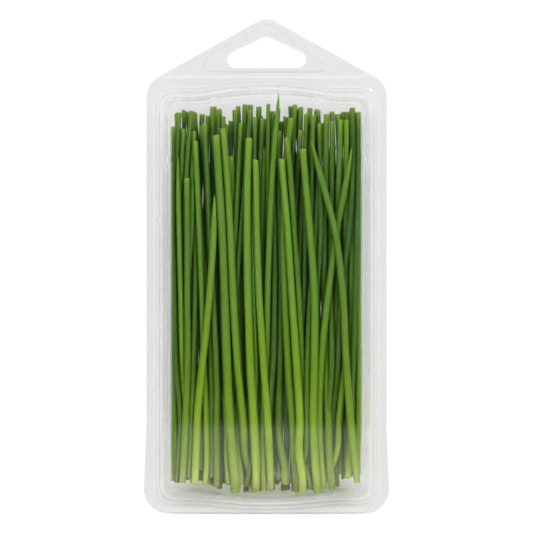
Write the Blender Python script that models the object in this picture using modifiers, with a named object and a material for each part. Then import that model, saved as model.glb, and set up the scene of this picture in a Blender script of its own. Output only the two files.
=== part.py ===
"""A bunch of fresh cut chives in its clear clamshell pack, lying on the tray with the lid shut.

The pack lies along Y with its hang tab at +Y and its lid up. The origin is under the middle of the
pack, on the surface that it lies on. Pieces: the tray, the hinged lid with its snap knobs, and the
shoots, each of two leaves grown together at their cut foot, side by side or in one sheath.
"""

import math

import bmesh
import bpy
import numpy as np

MM = 0.001

# Flange outline, the same on tray and lid: straight foot, sides that flare below, house-shaped tab
HALF_LENGTH = 106.1 * MM
HALF_WIDTH = 51.6 * MM
FOOT_HALF_WIDTH = 52.7 * MM
FLARE_Y = -70.0 * MM
FOOT_RADIUS = 11.0 * MM
SHOULDER_RADIUS = 9.0 * MM
APEX_RADIUS = 7.5 * MM
ROOF_ANGLE = math.radians(29.1)

# Hang hole: a triangle with round corners, given by the centres of its corners
HOLE_RADIUS = 3.7 * MM
HOLE_BASE = (13.2 * MM, 88.6 * MM)
HOLE_APEX_Y = 94.7 * MM

# Sheet and heights
SHEET = 0.5 * MM
TRAY_FLANGE_Z = 18.8 * MM
LID_FLANGE_Z = 19.6 * MM
STEP_Z = 20.3 * MM
RIDGE_Z = 22.4 * MM
PLUG_Z = 16.4 * MM
PANEL_Z = 16.9 * MM

# Loops of the formed sheet: half width, flat top and its rise, flat bottom and its drop, corner
# radius, height. The ends of the pack bow outwards over BOW_HALF either side of the middle.
BOW_HALF = 28.0 * MM
LID_LOOPS = (
    (48.2, 76.7, 3.2, -102.4, 2.2, 7.5, LID_FLANGE_Z),
    (47.6, 76.1, 3.2, -101.9, 2.1, 7.0, STEP_Z),
    (46.2, 74.8, 2.9, -100.7, 1.8, 6.2, STEP_Z),
    (45.6, 74.2, 2.9, -100.1, 1.9, 6.0, RIDGE_Z),
    (43.8, 72.4, 3.1, -98.5, 2.2, 5.0, RIDGE_Z),
    (42.2, 70.9, 3.0, -96.8, 3.6, 4.2, PLUG_Z),
    (41.3, 70.0, 3.0, -95.9, 3.6, 3.9, PLUG_Z),
    (40.8, 69.5, 3.0, -95.4, 3.6, 3.7, PANEL_Z),
)
TRAY_LOOPS = (
    (44.9, 73.6, 3.1, -99.5, 2.6, 5.6, TRAY_FLANGE_Z),
    (44.6, 73.3, 3.1, -99.2, 2.8, 5.4, TRAY_FLANGE_Z - 0.6 * MM),
    (42.4, 71.9, 3.1, -97.6, 3.4, 4.6, 2.4 * MM),
    (41.6, 71.1, 3.1, -96.8, 3.5, 4.2, 1.0 * MM),
    (40.2, 69.7, 3.1, -95.4, 3.6, 3.6, SHEET),
)
CORNER_STEPS = 5
BOW_STEPS = 10
SIDE_POINTS = 4

# Grips: between two slanting folds the tray's long walls lean in, more the deeper they go. The folds
# start at these heights under the flange and draw together by their slant down to the floor.
GRIP_LEAN = 2.4 * MM
GRIP_TOP = 43.9 * MM
GRIP_TOP_SLANT = 4.3 * MM
GRIP_FOOT = -70.0 * MM
GRIP_FOOT_SLANT = 2.5 * MM
GRIP_FOLD = 1.0 * MM

# Snap knobs pressed out of the lid's plug wall: place on the wall, and size
KNOBS = ((22.5, 72.6), (42.9, 46.0), (27.0, -98.0))
KNOB_Z = 17.9 * MM
KNOB_RADIUS = 1.3 * MM
KNOB_REACH = 0.75 * MM

# The bunch: shoots of two leaves, laid by a seeded rule between the tray floor and the lid panel.
# Its sizes are in millimetres. A line of feet or tops is its end y, its bow and its half width.
SEED = 21
SHOOTS = 50
SPREAD = 38.5
JITTER = (0.2, 0.8)
MATE_DRIFT = 4.5
MATE_LOWER = 1.0
MATE_DROP = (2.8, 6.5)
LOOSE_MATE_DROP = (-4.0, 4.0)
LOOSE_BEND = (0.6, 1.2, 2.0, 2.6, 3.2)
LOOSE_Z = (2.2, 11.5)
FOOT_LINE = (-92.0, 6.2, 40.0)
FOOT_GAP = 0.2
FOOT_RANGE = 8.5
FOOT_EASE = 1.6
TOP_LINE = (67.6, 2.6, 30.0)
TOP_RANGE = 12.0
TOP_EASE = 2.0
STATIONS = np.linspace(-98.0, 72.0, 7)
SPAN_CHECKS = 8
FLOOR_Z = 0.8
CEILING_Z = 15.8
LEAD_ROOM = 2.0
ROOM_HALF_WIDTH = 39.6
ROOM_LEAN = 0.22
ROOM_LIMIT = 41.3
FLOOR_INSET = 1.3
FLOOR_ROUNDING = 3.5
LEAF_RADIUS = (1.05, 1.36)
FOOT_WIDER = 1.13
TOP_SLIMMER = 0.90
SHEATH_RADIUS = 1.72
SHEATH_LENGTH = (20.0, 27.0)
SHEATH_OFFSET = 0.7
SHEATHED_SHARE = 0.3
SIDE_BY_SIDE = 0.78
CLEAR = 0.32
ROUNDS = 1400
TIP_LENGTH = 16.0
TIP_BLUNT = 0.22
MOUTH_ROOM = 3.0
SIDES_RESOLUTION = 1

# Leaves that lie on top, by eye: x at LEAD_HEIGHTS, foot and top end, radius, depth under the lid
# in leaf layers, whether the leaf still has its pointed tip, and whether it has a sheath.
LEAD_HEIGHTS = (-95.0, -55.0, -15.0, 25.0, 65.0)
LEADS = (
    ((-39.2, -39.2, -37.9, -36.6, -38.2), -91.0, 65.8, 1.29, 2.4, False, False),
    ((-36.6, -34.5, -33.9, -34.0, -34.8), -92.8, 37.9, 1.47, 0.3, False, False),
    ((-36.0, -36.0, -37.0, -39.4, -38.6), -92.0, 46.9, 1.26, 1.0, True, False),
    ((-33.0, -32.6, -33.0, -33.9, -35.6), -92.6, 57.6, 1.49, 1.4, False, False),
    ((-31.3, -29.6, -24.4, -21.5, -23.0), -93.6, 30.6, 1.63, 0.0, True, False),
    ((-26.6, -25.3, -27.9, -30.9, -31.7), -93.8, 53.8, 1.29, 1.3, False, False),
    ((-25.7, -25.3, -25.7, -26.0, -27.9), -94.2, 60.6, 1.75, 2.2, False, False),
    ((-22.9, -23.1, -23.6, -23.6, -23.1), -95.0, 69.2, 1.61, 3.3, False, False),
    ((-13.9, -16.9, -17.6, -19.3, -22.3), -97.4, 56.4, 1.78, 0.2, False, False),
    ((-3.9, -12.2, -14.6, -15.9, -19.3), -97.6, 59.4, 1.59, 0.6, False, False),
    ((-10.3, -11.1, -12.2, -13.9, -16.7), -94.1, 47.4, 1.61, 1.6, False, False),
    ((-4.3, -5.8, -8.1, -8.6, -6.9), -96.6, 55.1, 1.72, 0.2, False, True),
    ((2.1, -0.2, -3.6, -4.7, -5.6), -96.2, 45.6, 1.47, 0.5, False, True),
    ((-2.1, -1.9, -2.1, -1.5, -0.4), -97.2, 50.8, 1.67, 2.0, False, False),
    ((0.6, 0.4, 0.6, 1.3, 4.2), -96.9, 74.2, 1.44, 1.2, True, False),
    ((6.9, 4.3, 6.6, 5.6, 4.7), -94.0, 58.1, 1.59, 2.2, False, False),
    ((15.0, 9.9, 7.7, 6.4, 9.9), -97.8, 64.1, 1.59, 1.1, False, True),
    ((18.0, 14.4, 11.1, 8.5, 6.0), -97.0, 46.1, 1.68, 0.3, False, False),
    ((16.7, 16.3, 13.9, 11.1, 7.3), -95.6, 55.1, 1.36, 1.3, False, False),
    ((19.5, 21.1, 21.2, 17.9, 14.4), -97.2, 50.4, 1.68, 0.2, False, False),
    ((39.6, 34.9, 32.1, 26.3, 16.7), -93.2, 54.2, 1.54, 0.0, True, True),
    ((18.6, 20.2, 23.2, 27.6, 33.4), -95.8, 52.5, 1.75, 3.0, False, False),
    ((21.4, 21.8, 27.9, 35.8, 40.0), -95.9, 51.2, 1.43, 1.0, True, False),
    ((23.4, 28.0, 30.0, 31.3, 32.6), -96.2, 63.2, 1.67, 1.9, False, True),
    ((33.9, 32.1, 31.3, 30.4, 29.6), -92.1, 65.8, 1.49, 4.0, False, False),
    ((27.0, 32.6, 33.9, 34.3, 35.0), -93.2, 63.2, 1.38, 2.1, False, False),
    ((36.0, 37.7, 36.4, 36.9, 36.4), -91.1, 61.5, 1.29, 2.4, False, False),
    ((38.6, 39.1, 39.2, 39.2, 38.6), -92.0, 66.6, 1.29, 2.4, False, False),
)


def corner_arc(centre_x, centre_y, radius, start, end, steps=CORNER_STEPS):
    """Points of a round corner: centre plus radius along the angles from start to end."""
    angles = np.linspace(start, end, steps)
    return np.column_stack([centre_x + radius * np.cos(angles), centre_y + radius * np.sin(angles)])


def formed_loop(half_width, top, rise, bottom, drop, corner, lean):
    """Rounded rectangle whose top and bottom bow outwards as one minus x squared, anticlockwise.

    Its sides step in between the grip folds; lean is 0 at the flange and 1 at full depth.
    """
    width, high, low, radius = (value * MM for value in (half_width, top, bottom, corner))
    quarter = math.pi / 2
    fold_top = GRIP_TOP - GRIP_TOP_SLANT * lean
    fold_foot = GRIP_FOOT + GRIP_FOOT_SLANT * lean
    side = np.array([
        (width, fold_foot - GRIP_FOLD / 2),
        (width - GRIP_LEAN * lean, fold_foot + GRIP_FOLD / 2),
        (width - GRIP_LEAN * lean, fold_top - GRIP_FOLD / 2),
        (width, fold_top + GRIP_FOLD / 2),
    ])
    across = np.linspace(BOW_HALF, -BOW_HALF, BOW_STEPS)
    bow = 1.0 - (across / BOW_HALF) ** 2
    return np.vstack([
        corner_arc(width - radius, high - radius, radius, 0, quarter),
        np.column_stack([across, high + rise * MM * bow]),
        corner_arc(radius - width, high - radius, radius, quarter, 2 * quarter),
        (side * (-1.0, 1.0))[::-1],
        corner_arc(radius - width, low + radius, radius, 2 * quarter, 3 * quarter),
        np.column_stack([-across, low - drop * MM * bow]),
        corner_arc(width - radius, low + radius, radius, 3 * quarter, 4 * quarter),
        side,
    ])


def flange_outline():
    """House-shaped outline: arcs at the shoulders and the apex are tangent to the sloping roof."""
    quarter = math.pi / 2
    normal = quarter - ROOF_ANGLE
    apex_y = HALF_LENGTH - APEX_RADIUS
    roof = apex_y * math.sin(normal) + APEX_RADIUS
    shoulder_x = HALF_WIDTH - SHOULDER_RADIUS
    shoulder_y = (roof - SHOULDER_RADIUS - shoulder_x * math.cos(normal)) / math.sin(normal)
    foot_x = FOOT_HALF_WIDTH - FOOT_RADIUS
    foot_y = FOOT_RADIUS - HALF_LENGTH
    apex = corner_arc(0.0, apex_y, APEX_RADIUS, normal, math.pi - normal, BOW_STEPS - 2)
    eave_x = BOW_HALF
    eave_y = (roof - eave_x * math.cos(normal)) / math.sin(normal)
    foot = np.linspace(-BOW_HALF, BOW_HALF, BOW_STEPS)
    side_y = np.linspace(FLARE_Y, GRIP_TOP, SIDE_POINTS)
    side = np.column_stack([np.full(SIDE_POINTS, HALF_WIDTH), side_y])
    return np.vstack([
        corner_arc(shoulder_x, shoulder_y, SHOULDER_RADIUS, 0, normal),
        [(eave_x, eave_y)],
        apex,
        [(-eave_x, eave_y)],
        corner_arc(-shoulder_x, shoulder_y, SHOULDER_RADIUS, math.pi - normal, math.pi),
        (side * (-1.0, 1.0))[::-1],
        corner_arc(-foot_x, foot_y, FOOT_RADIUS, 2 * quarter, 3 * quarter),
        np.column_stack([foot, np.full(BOW_STEPS, -HALF_LENGTH)]),
        corner_arc(foot_x, foot_y, FOOT_RADIUS, 3 * quarter, 4 * quarter),
        side,
    ])


def clear_scene():
    for item in list(bpy.data.objects):
        bpy.data.objects.remove(item, do_unlink=True)


def new_collection(name):
    collection = bpy.data.collections.new(name)
    bpy.context.scene.collection.children.link(collection)
    return collection


def add_object(name, data, collection):
    item = bpy.data.objects.new(name, data)
    collection.objects.link(item)
    return item


def principled(name, colour, roughness, alpha=1.0):
    material = bpy.data.materials.new(name)
    material.use_nodes = True
    material.diffuse_color = (*colour, alpha)
    shader = material.node_tree.nodes["Principled BSDF"]
    shader.inputs["Base Color"].default_value = (*colour, 1.0)
    shader.inputs["Roughness"].default_value = roughness
    shader.inputs["Metallic"].default_value = 0.0
    shader.inputs["Alpha"].default_value = alpha
    return material


def formed_sheet(name, loops, flange_z, gripped, material, collection):
    """Open surface lofted through the flange outline and the loops, closed by a flat panel."""
    mesh = bpy.data.meshes.new(name)
    shape = bmesh.new()
    rings = [(flange_outline(), flange_z)]
    for *loop, z in loops:
        lean = (flange_z - z) / flange_z if gripped else 0.0
        rings.append((formed_loop(*loop, lean), z))
    rows = [[shape.verts.new((x, y, z)) for x, y in ring] for ring, z in rings]
    for outer, inner in zip(rows, rows[1:]):
        for i in range(len(outer)):
            j = (i + 1) % len(outer)
            shape.faces.new((outer[i], outer[j], inner[j], inner[i]))
    shape.faces.new(rows[-1])
    shape.to_mesh(mesh)
    shape.free()
    mesh.materials.append(material)
    sheet = add_object(name, mesh, collection)
    wall = sheet.modifiers.new("sheet", "SOLIDIFY")
    wall.thickness = SHEET
    wall.offset = -1.0
    wall.use_even_offset = True
    return sheet


def hang_hole_cutter(cutters):
    """Prism over the hull of three round corners, longer than both flanges are thick."""
    mesh = bpy.data.meshes.new("hang_hole")
    shape = bmesh.new()
    corners = ((-HOLE_BASE[0], HOLE_BASE[1]), HOLE_BASE, (0.0, HOLE_APEX_Y))
    for x, y in corners:
        for z in (TRAY_FLANGE_Z - 5 * MM, LID_FLANGE_Z + 5 * MM):
            for point in corner_arc(x, y, HOLE_RADIUS, 0.0, 2 * math.pi * 15 / 16, 16):
                shape.verts.new((*point, z))
    hull = bmesh.ops.convex_hull(shape, input=shape.verts)
    bmesh.ops.delete(shape, geom=hull["geom_interior"], context="VERTS")
    bmesh.ops.recalc_face_normals(shape, faces=shape.faces)
    shape.to_mesh(mesh)
    shape.free()
    cutter = add_object("hang_hole", mesh, cutters)
    cutter.hide_render = True
    cutter.display_type = "WIRE"
    return cutter


def snap_knob(name, x, y, collection):
    """Flattened ball set in the plug wall, thin across the wall that it stands out of."""
    mesh = bpy.data.meshes.new(name)
    shape = bmesh.new()
    bmesh.ops.create_uvsphere(shape, u_segments=8, v_segments=6, radius=1.0)
    on_side = abs(x) > 40 * MM
    across = (KNOB_REACH, KNOB_RADIUS) if on_side else (KNOB_RADIUS, KNOB_REACH)
    bmesh.ops.scale(shape, vec=(*across, KNOB_RADIUS), verts=shape.verts)
    bmesh.ops.translate(shape, vec=(x, y, KNOB_Z), verts=shape.verts)
    shape.to_mesh(mesh)
    shape.free()
    return add_object(name, mesh, collection)


def boolean(item, operation, operand=None, collection=None):
    cut = item.modifiers.new(operation.lower(), "BOOLEAN")
    cut.operation = operation
    cut.solver = "EXACT"
    if collection is None:
        cut.object = operand
    else:
        cut.operand_type = "COLLECTION"
        cut.collection = collection


def freeze(item):
    """Replaces the object's mesh by its evaluated one and drops its modifiers."""
    graph = bpy.context.evaluated_depsgraph_get()
    solid = bpy.data.meshes.new_from_object(item.evaluated_get(graph))
    item.modifiers.clear()
    item.data = solid
    item.data.name = item.name


def build_pack(parts, cutters):
    clear_plastic = principled("clear_plastic", (0.86, 0.88, 0.87), 0.12, 0.3)
    hole = hang_hole_cutter(cutters)
    tray = formed_sheet("tray", TRAY_LOOPS, TRAY_FLANGE_Z, True, clear_plastic, parts)
    boolean(tray, "DIFFERENCE", operand=hole)
    lid = formed_sheet("lid", LID_LOOPS, LID_FLANGE_Z, False, clear_plastic, parts)
    boolean(lid, "DIFFERENCE", operand=hole)
    knobs = bpy.data.collections.new("knobs")
    for index, (x, y) in enumerate(KNOBS):
        for side in (-1, 1):
            snap_knob(f"knob_{index}_{side}", side * x * MM, y * MM, knobs)
    boolean(lid, "UNION", collection=knobs)
    freeze(lid)
    for knob in list(knobs.objects):
        bpy.data.objects.remove(knob, do_unlink=True)
    bpy.data.collections.remove(knobs)


def room_half_width(z):
    """Half width between the tray's gripped walls at height z, rounded into the floor."""
    rounding = np.clip(1.0 - (z - FLOOR_Z) / FLOOR_ROUNDING, 0.0, 1.0)
    return np.minimum(ROOM_HALF_WIDTH + ROOM_LEAN * z, ROOM_LIMIT) - FLOOR_INSET * rounding


def foot_limit(x):
    """Lowest y that a cut foot may reach: the feet follow the tray's bowed end."""
    end, bow, half = FOOT_LINE
    return end - bow * np.clip(1.0 - (x / half) ** 2, 0.0, None)


def top_limit(x):
    """Highest y that a cut top may reach, under the tray's bowed upper end."""
    end, bow, half = TOP_LINE
    return end + bow * np.clip(1.0 - (x / half) ** 2, 0.0, None)


def plan_leaves(rng):
    """Rest shapes of all leaves at the stations, before they are pushed apart.

    Leaf 2i and leaf 2i + 1 grow together at the foot of shoot i. The first shoots carry the leads;
    the others start from evenly spread, jittered places. Each leaf is a polynomial through its x at
    the lead heights; the second leaf goes straight up from the foot and drifts a little sideways.
    """
    count = 2 * SHOOTS
    plan = {
        "x": np.zeros((count, len(STATIONS))),
        "z": np.zeros((count, len(STATIONS))),
        "foot": np.zeros(count),
        "top": np.zeros(count),
        "radius": rng.uniform(*LEAF_RADIUS, count),
        "pointed": np.zeros(count, bool),
        "lead": np.zeros(count, bool),
        "sheathed": np.repeat(rng.uniform(size=SHOOTS) < SHEATHED_SHARE, 2),
        "sheath": np.repeat(rng.uniform(*SHEATH_LENGTH, SHOOTS), 2),
    }
    spare = SHOOTS - len(LEADS)
    places = (np.arange(spare) + rng.uniform(*JITTER, spare)) / spare
    drift = np.linspace(0.0, 1.0, len(STATIONS)) ** 1.2
    for shoot in range(SHOOTS):
        first, second = 2 * shoot, 2 * shoot + 1
        if shoot < len(LEADS):
            across, foot, top, radius, depth, pointed, sheathed = LEADS[shoot]
            plan["lead"][first] = True
            plan["radius"][first] = radius
            plan["pointed"][first] = pointed
            plan["sheathed"][[first, second]] = sheathed
            height = CEILING_Z - radius - depth * 2.0 * radius
            deeper = rng.uniform(*MATE_DROP)
            curve = np.polyfit(LEAD_HEIGHTS, across, 4)
        else:
            middle = SPREAD * (2.0 * places[shoot - len(LEADS)] - 1.0)
            across = middle + rng.normal(0.0, LOOSE_BEND)
            foot = foot_limit(middle) + FOOT_GAP + FOOT_RANGE * rng.uniform() ** FOOT_EASE
            top = top_limit(across[-1]) - TOP_RANGE * rng.uniform() ** TOP_EASE
            height = rng.uniform(*LOOSE_Z)
            deeper = rng.uniform(*LOOSE_MATE_DROP)
            curve = np.polyfit(LEAD_HEIGHTS, across, 3)
        beside = rng.choice((-1.0, 1.0)) * plan["radius"][second]
        plan["x"][first] = np.polyval(curve, STATIONS)
        plan["z"][first] = height
        plan["x"][second] = plan["x"][first, 0] + beside + rng.normal(0.0, MATE_DRIFT) * drift
        plan["z"][second] = height - MATE_LOWER - deeper * drift
        second_top = top_limit(plan["x"][second, -1]) - TOP_RANGE * rng.uniform() ** TOP_EASE
        plan["top"][[first, second]] = top, second_top
        plan["foot"][first] = foot
        own_line = foot_limit(plan["x"][second, 0]) + FOOT_GAP
        own_foot = own_line + FOOT_RANGE * rng.uniform() ** FOOT_EASE
        plan["foot"][second] = foot if plan["sheathed"][first] else own_foot
    return plan


def leaf_radius(plan, y):
    """Outer radius of each leaf at heights y: a sheath at the foot, a slow taper, a drawn-out tip."""
    length = (plan["top"] - plan["foot"])[:, None]
    along = np.clip((y[None, :] - plan["foot"][:, None]) / length, 0.0, 1.0)
    blade = plan["radius"][:, None] * (FOOT_WIDER + (TOP_SLIMMER - FOOT_WIDER) * along)
    to_tip = np.clip((plan["top"][:, None] - y[None, :]) / TIP_LENGTH, 0.0, 1.0)
    drawn_out = TIP_BLUNT + (1.0 - TIP_BLUNT) * np.sqrt(to_tip)
    blade = np.where(plan["pointed"][:, None], blade * drawn_out, blade)
    mouth = np.where(plan["sheathed"], plan["foot"] + plan["sheath"], -1000.0)
    in_sheath = y[None, :] < mouth[:, None] + MOUTH_ROOM
    return np.where(in_sheath, np.maximum(blade, SHEATH_RADIUS), blade)


def lay_leaves(plan):
    """Pushes the leaves apart until each pair keeps its clearance at every height.

    Each round visits heights within every span between stations. Leaves too close at a height move
    apart along the line between their centres, and the move is shared by the span's two stations.
    The round then eases the bends, draws the leads home and keeps all within tray and lid. The
    easing and drawing fade out, so the last rounds only clear overlaps.
    """
    x, z = plan["x"], plan["z"]
    home_x, home_z = x.copy(), z.copy()
    count = len(x)
    mate = np.arange(count) ^ 1
    slices = []
    for span in range(len(STATIONS) - 1):
        for part in (np.arange(SPAN_CHECKS) + 0.5) / SPAN_CHECKS:
            y = STATIONS[span] * (1.0 - part) + STATIONS[span + 1] * part
            radius = leaf_radius(plan, np.array([y]))[:, 0]
            alive = (y >= plan["foot"] - 4.0) & (y <= plan["top"] + 3.0)
            need = (radius[:, None] + radius[None, :] + CLEAR) * np.outer(alive, alive)
            need[np.arange(count), np.arange(count)] = 0.0
            need[np.arange(count), mate] *= y > STATIONS[2]
            slices.append((span, part, need))
    station_radius = leaf_radius(plan, STATIONS)
    lead = plan["lead"]
    for turn in range(ROUNDS):
        cooling = max(0.0, 1.0 - 3.0 * turn / ROUNDS)
        easing = turn < 0.85 * ROUNDS
        worst = 0.0
        for span, part, need in slices:
            px = x[:, span] * (1.0 - part) + x[:, span + 1] * part
            pz = z[:, span] * (1.0 - part) + z[:, span + 1] * part
            dx = px[:, None] - px[None, :]
            dz = pz[:, None] - pz[None, :]
            gap = np.sqrt(dx * dx + dz * dz) + 1e-6
            short = np.clip(need - gap, 0.0, None)
            worst = max(worst, float(short.max()))
            push = 0.5 * short / gap / (part**2 + (1.0 - part) ** 2)
            move_x = (push * dx).sum(axis=1)
            move_z = (push * dz).sum(axis=1)
            x[:, span] += (1.0 - part) * move_x
            x[:, span + 1] += part * move_x
            z[:, span] += (1.0 - part) * move_z
            z[:, span + 1] += part * move_z
        if easing:
            bend = 0.04 + 0.12 * cooling
            x[:, 1:-1] += bend * (0.5 * (x[:, :-2] + x[:, 2:]) - x[:, 1:-1])
            z[:, 1:-1] += bend * (0.5 * (z[:, :-2] + z[:, 2:]) - z[:, 1:-1])
            pull = 0.04 + 0.46 * cooling
            x[lead] += pull * (home_x[lead] - x[lead])
            z[lead] += pull * (home_z[lead] - z[lead])
        join_feet(plan)
        ceiling = CEILING_Z - station_radius - LEAD_ROOM * ~lead[:, None]
        np.clip(z, FLOOR_Z + station_radius, ceiling, out=z)
        limit = room_half_width(z) - station_radius
        np.clip(x, -limit, limit, out=x)
        if not easing and worst < 0.02:
            break
    return worst


def join_feet(plan):
    """Holds a shoot's two leaves together at the two lowest stations.

    In a sheath they lie nearly in line, and otherwise side by side, a little sunk into each other.
    Both move by half of what is missing, but beside a lead only the other leaf moves.
    """
    x, z, lead = plan["x"], plan["z"], plan["lead"]
    touching = SIDE_BY_SIDE * FOOT_WIDER * (plan["radius"][0::2] + plan["radius"][1::2])
    apart = np.where(plan["sheathed"][0::2], SHEATH_OFFSET, touching)
    first_share = np.where(lead[0::2], 0.0, 0.5)
    for station in (0, 1):
        dx = x[1::2, station] - x[0::2, station]
        dz = z[1::2, station] - z[0::2, station]
        length = np.hypot(dx, dz) + 1e-6
        extra = (length - apart) / length
        x[0::2, station] += first_share * extra * dx
        x[1::2, station] -= (1.0 - first_share) * extra * dx
        z[0::2, station] += first_share * extra * dz
        z[1::2, station] -= (1.0 - first_share) * extra * dz


def tube(name, points, radii, collection):
    """Closed tube of six sides along a poly line, with a radius at each point."""
    curve = bpy.data.curves.new(name, "CURVE")
    curve.dimensions = "3D"
    curve.bevel_depth = MM
    curve.bevel_resolution = SIDES_RESOLUTION
    curve.use_fill_caps = True
    spline = curve.splines.new("POLY")
    spline.points.add(len(points) - 1)
    spline.points.foreach_set("co", np.column_stack([points * MM, np.ones(len(points))]).ravel())
    spline.points.foreach_set("radius", np.asarray(radii, dtype=float))
    guide = add_object(name, curve, collection)
    graph = bpy.context.evaluated_depsgraph_get()
    mesh = bpy.data.meshes.new_from_object(guide.evaluated_get(graph))
    bpy.data.objects.remove(guide, do_unlink=True)
    shape = bmesh.new()
    shape.from_mesh(mesh)
    bmesh.ops.remove_doubles(shape, verts=shape.verts, dist=0.00001)
    bmesh.ops.recalc_face_normals(shape, faces=shape.faces)
    shape.to_mesh(mesh)
    shape.free()
    return add_object(name, mesh, collection)


def leaf_points(plan, leaf):
    """Ends of the leaf and the stations between them, with the radius at each."""
    foot, top = plan["foot"][leaf], plan["top"][leaf]
    inner = STATIONS[(STATIONS > foot + 3.0) & (STATIONS < top - 3.0)]
    if plan["pointed"][leaf]:
        inner = np.sort(np.append(inner[inner < top - 12.0], top - 8.0))
    y = np.concatenate([[foot], inner, [top]])
    x = np.interp(y, STATIONS, plan["x"][leaf])
    z = np.interp(y, STATIONS, plan["z"][leaf])
    one = {key: value[leaf:leaf + 1] for key, value in plan.items()}
    one["sheathed"] = np.zeros(1, bool)
    return np.column_stack([x, y, z]), leaf_radius(one, y)[0]


def sheath_points(plan, shoot):
    """Middle line of a shoot's sheath, from just under the foot to the mouth."""
    pair = (2 * shoot, 2 * shoot + 1)
    foot = plan["foot"][pair[0]]
    mouth = foot + plan["sheath"][pair[0]]
    y = np.array([foot - 0.2, 0.5 * (foot + mouth), mouth])
    x = np.mean([np.interp(y, STATIONS, plan["x"][leaf]) for leaf in pair], axis=0)
    z = np.mean([np.interp(y, STATIONS, plan["z"][leaf]) for leaf in pair], axis=0)
    return np.column_stack([x, y, z])


def build_shoots(parts):
    """One node a shoot: its two leaves, and the sheath if it has one, joined into one solid."""
    leaf_green = principled("leaf_green", (0.13, 0.27, 0.05), 0.4)
    plan = plan_leaves(np.random.default_rng(SEED))
    overlap = lay_leaves(plan)
    print(f"deepest loss of clearance {overlap:.3f} mm")
    for shoot in range(SHOOTS):
        joined = bpy.data.collections.new("joined")
        body = tube(f"shoot_{shoot + 1:02d}", *leaf_points(plan, 2 * shoot), parts)
        tube("second_leaf", *leaf_points(plan, 2 * shoot + 1), joined)
        if plan["sheathed"][2 * shoot]:
            tube("sheath", sheath_points(plan, shoot), np.full(3, SHEATH_RADIUS), joined)
        boolean(body, "UNION", collection=joined)
        freeze(body)
        body.data.materials.clear()
        body.data.materials.append(leaf_green)
        for helper in list(joined.objects):
            bpy.data.objects.remove(helper, do_unlink=True)
        bpy.data.collections.remove(joined)


def smooth_shading(parts):
    for item in parts.objects:
        item.data.shade_smooth()
        item.data.set_sharp_from_angle(angle=math.radians(40))


def main():
    clear_scene()
    parts = new_collection("chive_pack")
    cutters = new_collection("cutters")
    build_pack(parts, cutters)
    build_shoots(parts)
    smooth_shading(parts)


main()
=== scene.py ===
"""A bunch of cut chives in its clear clamshell pack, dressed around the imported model."""

import math
from types import SimpleNamespace

import bpy
import numpy as np
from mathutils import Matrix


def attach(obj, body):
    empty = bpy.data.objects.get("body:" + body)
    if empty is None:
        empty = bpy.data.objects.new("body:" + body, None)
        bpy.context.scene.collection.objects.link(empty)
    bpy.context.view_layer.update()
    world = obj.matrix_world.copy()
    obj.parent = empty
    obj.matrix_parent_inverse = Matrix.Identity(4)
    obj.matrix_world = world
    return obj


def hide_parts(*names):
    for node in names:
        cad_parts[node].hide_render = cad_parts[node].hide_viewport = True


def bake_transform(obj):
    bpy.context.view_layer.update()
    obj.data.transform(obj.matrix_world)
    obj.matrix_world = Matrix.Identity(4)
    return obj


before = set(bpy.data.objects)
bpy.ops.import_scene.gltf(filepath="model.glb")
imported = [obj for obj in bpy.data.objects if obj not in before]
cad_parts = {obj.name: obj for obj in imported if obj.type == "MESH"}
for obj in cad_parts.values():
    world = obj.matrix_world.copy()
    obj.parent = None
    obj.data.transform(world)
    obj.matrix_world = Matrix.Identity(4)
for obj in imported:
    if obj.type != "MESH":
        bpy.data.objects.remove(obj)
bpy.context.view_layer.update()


# ---- Camera, floor and studio ----------------
# The pack lies on a white, evenly lit table under a camera that looks straight down on it, with the
# hang tab at the top. Large soft boxes light it without being mirrored; a corner box and two low
# ones give the glints, and the lid mirrors a pale card above the foot.
CAMERA_HEIGHT = 1.5
VIEW_WIDTH = 0.2284
FLANGE_LEVEL = 0.0196
FLOOR_REACH = 3.0
FLOOR_LEVEL = -0.0002

camera_data = bpy.data.cameras.new("camera")
camera_data.sensor_width = 36.0
camera_data.lens = 36.0 * (CAMERA_HEIGHT - FLANGE_LEVEL) / VIEW_WIDTH
camera_data.clip_end = 20.0
camera = bpy.data.objects.new("camera", camera_data)
camera.location = (0.0, 0.0, CAMERA_HEIGHT)
bpy.context.scene.collection.objects.link(camera)
bpy.context.scene.camera = camera


def soft_box(name, place, size, strength, seen=True, aim=(0.0, 0.0, 0.0)):
    """Rectangular lamp at place, facing the point aim; size is its width and length in metres.

    One that isn't seen lights the pack but shows in no reflection.
    """
    lamp = bpy.data.lights.new(name, "AREA")
    lamp.shape = "RECTANGLE"
    lamp.size, lamp.size_y = size
    lamp.energy = strength
    box = bpy.data.objects.new(name, lamp)
    bpy.context.scene.collection.objects.link(box)
    away = np.array(place, float) - np.array(aim, float)
    away /= np.linalg.norm(away)
    side = np.cross((0.0, 1.0, 0.0), away)
    side /= np.linalg.norm(side)
    up = np.cross(away, side)
    turn = np.eye(4)
    turn[:3, :3] = np.column_stack([side, up, away])
    turn[:3, 3] = place
    box.matrix_world = turn.T.tolist()
    box.visible_glossy = seen
    return box


soft_box("side_box_left", (-0.50, 0.10, 1.00), (0.45, 0.8), 5.6, seen=False)
soft_box("side_box_right", (0.55, 0.10, 1.00), (0.45, 0.8), 4.4, seen=False)
soft_box("head_box", (0.0, 0.72, 0.92), (0.7, 0.35), 5.0, seen=False)
soft_box("corner_box", (0.50, 0.75, 0.95), (0.25, 0.25), 2.6)
soft_box("low_box_left", (-0.8, -0.1, 0.40), (0.3, 0.8), 1.0)
soft_box("low_box_right", (0.8, -0.1, 0.40), (0.3, 0.8), 1.5)
card = soft_box("pale_card", (0.0, -0.312, 1.5), (0.17, 0.35), 0.40, aim=(0.0, -0.15, 0.0))
card.data.color = (0.97, 1.0, 0.80)


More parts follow.
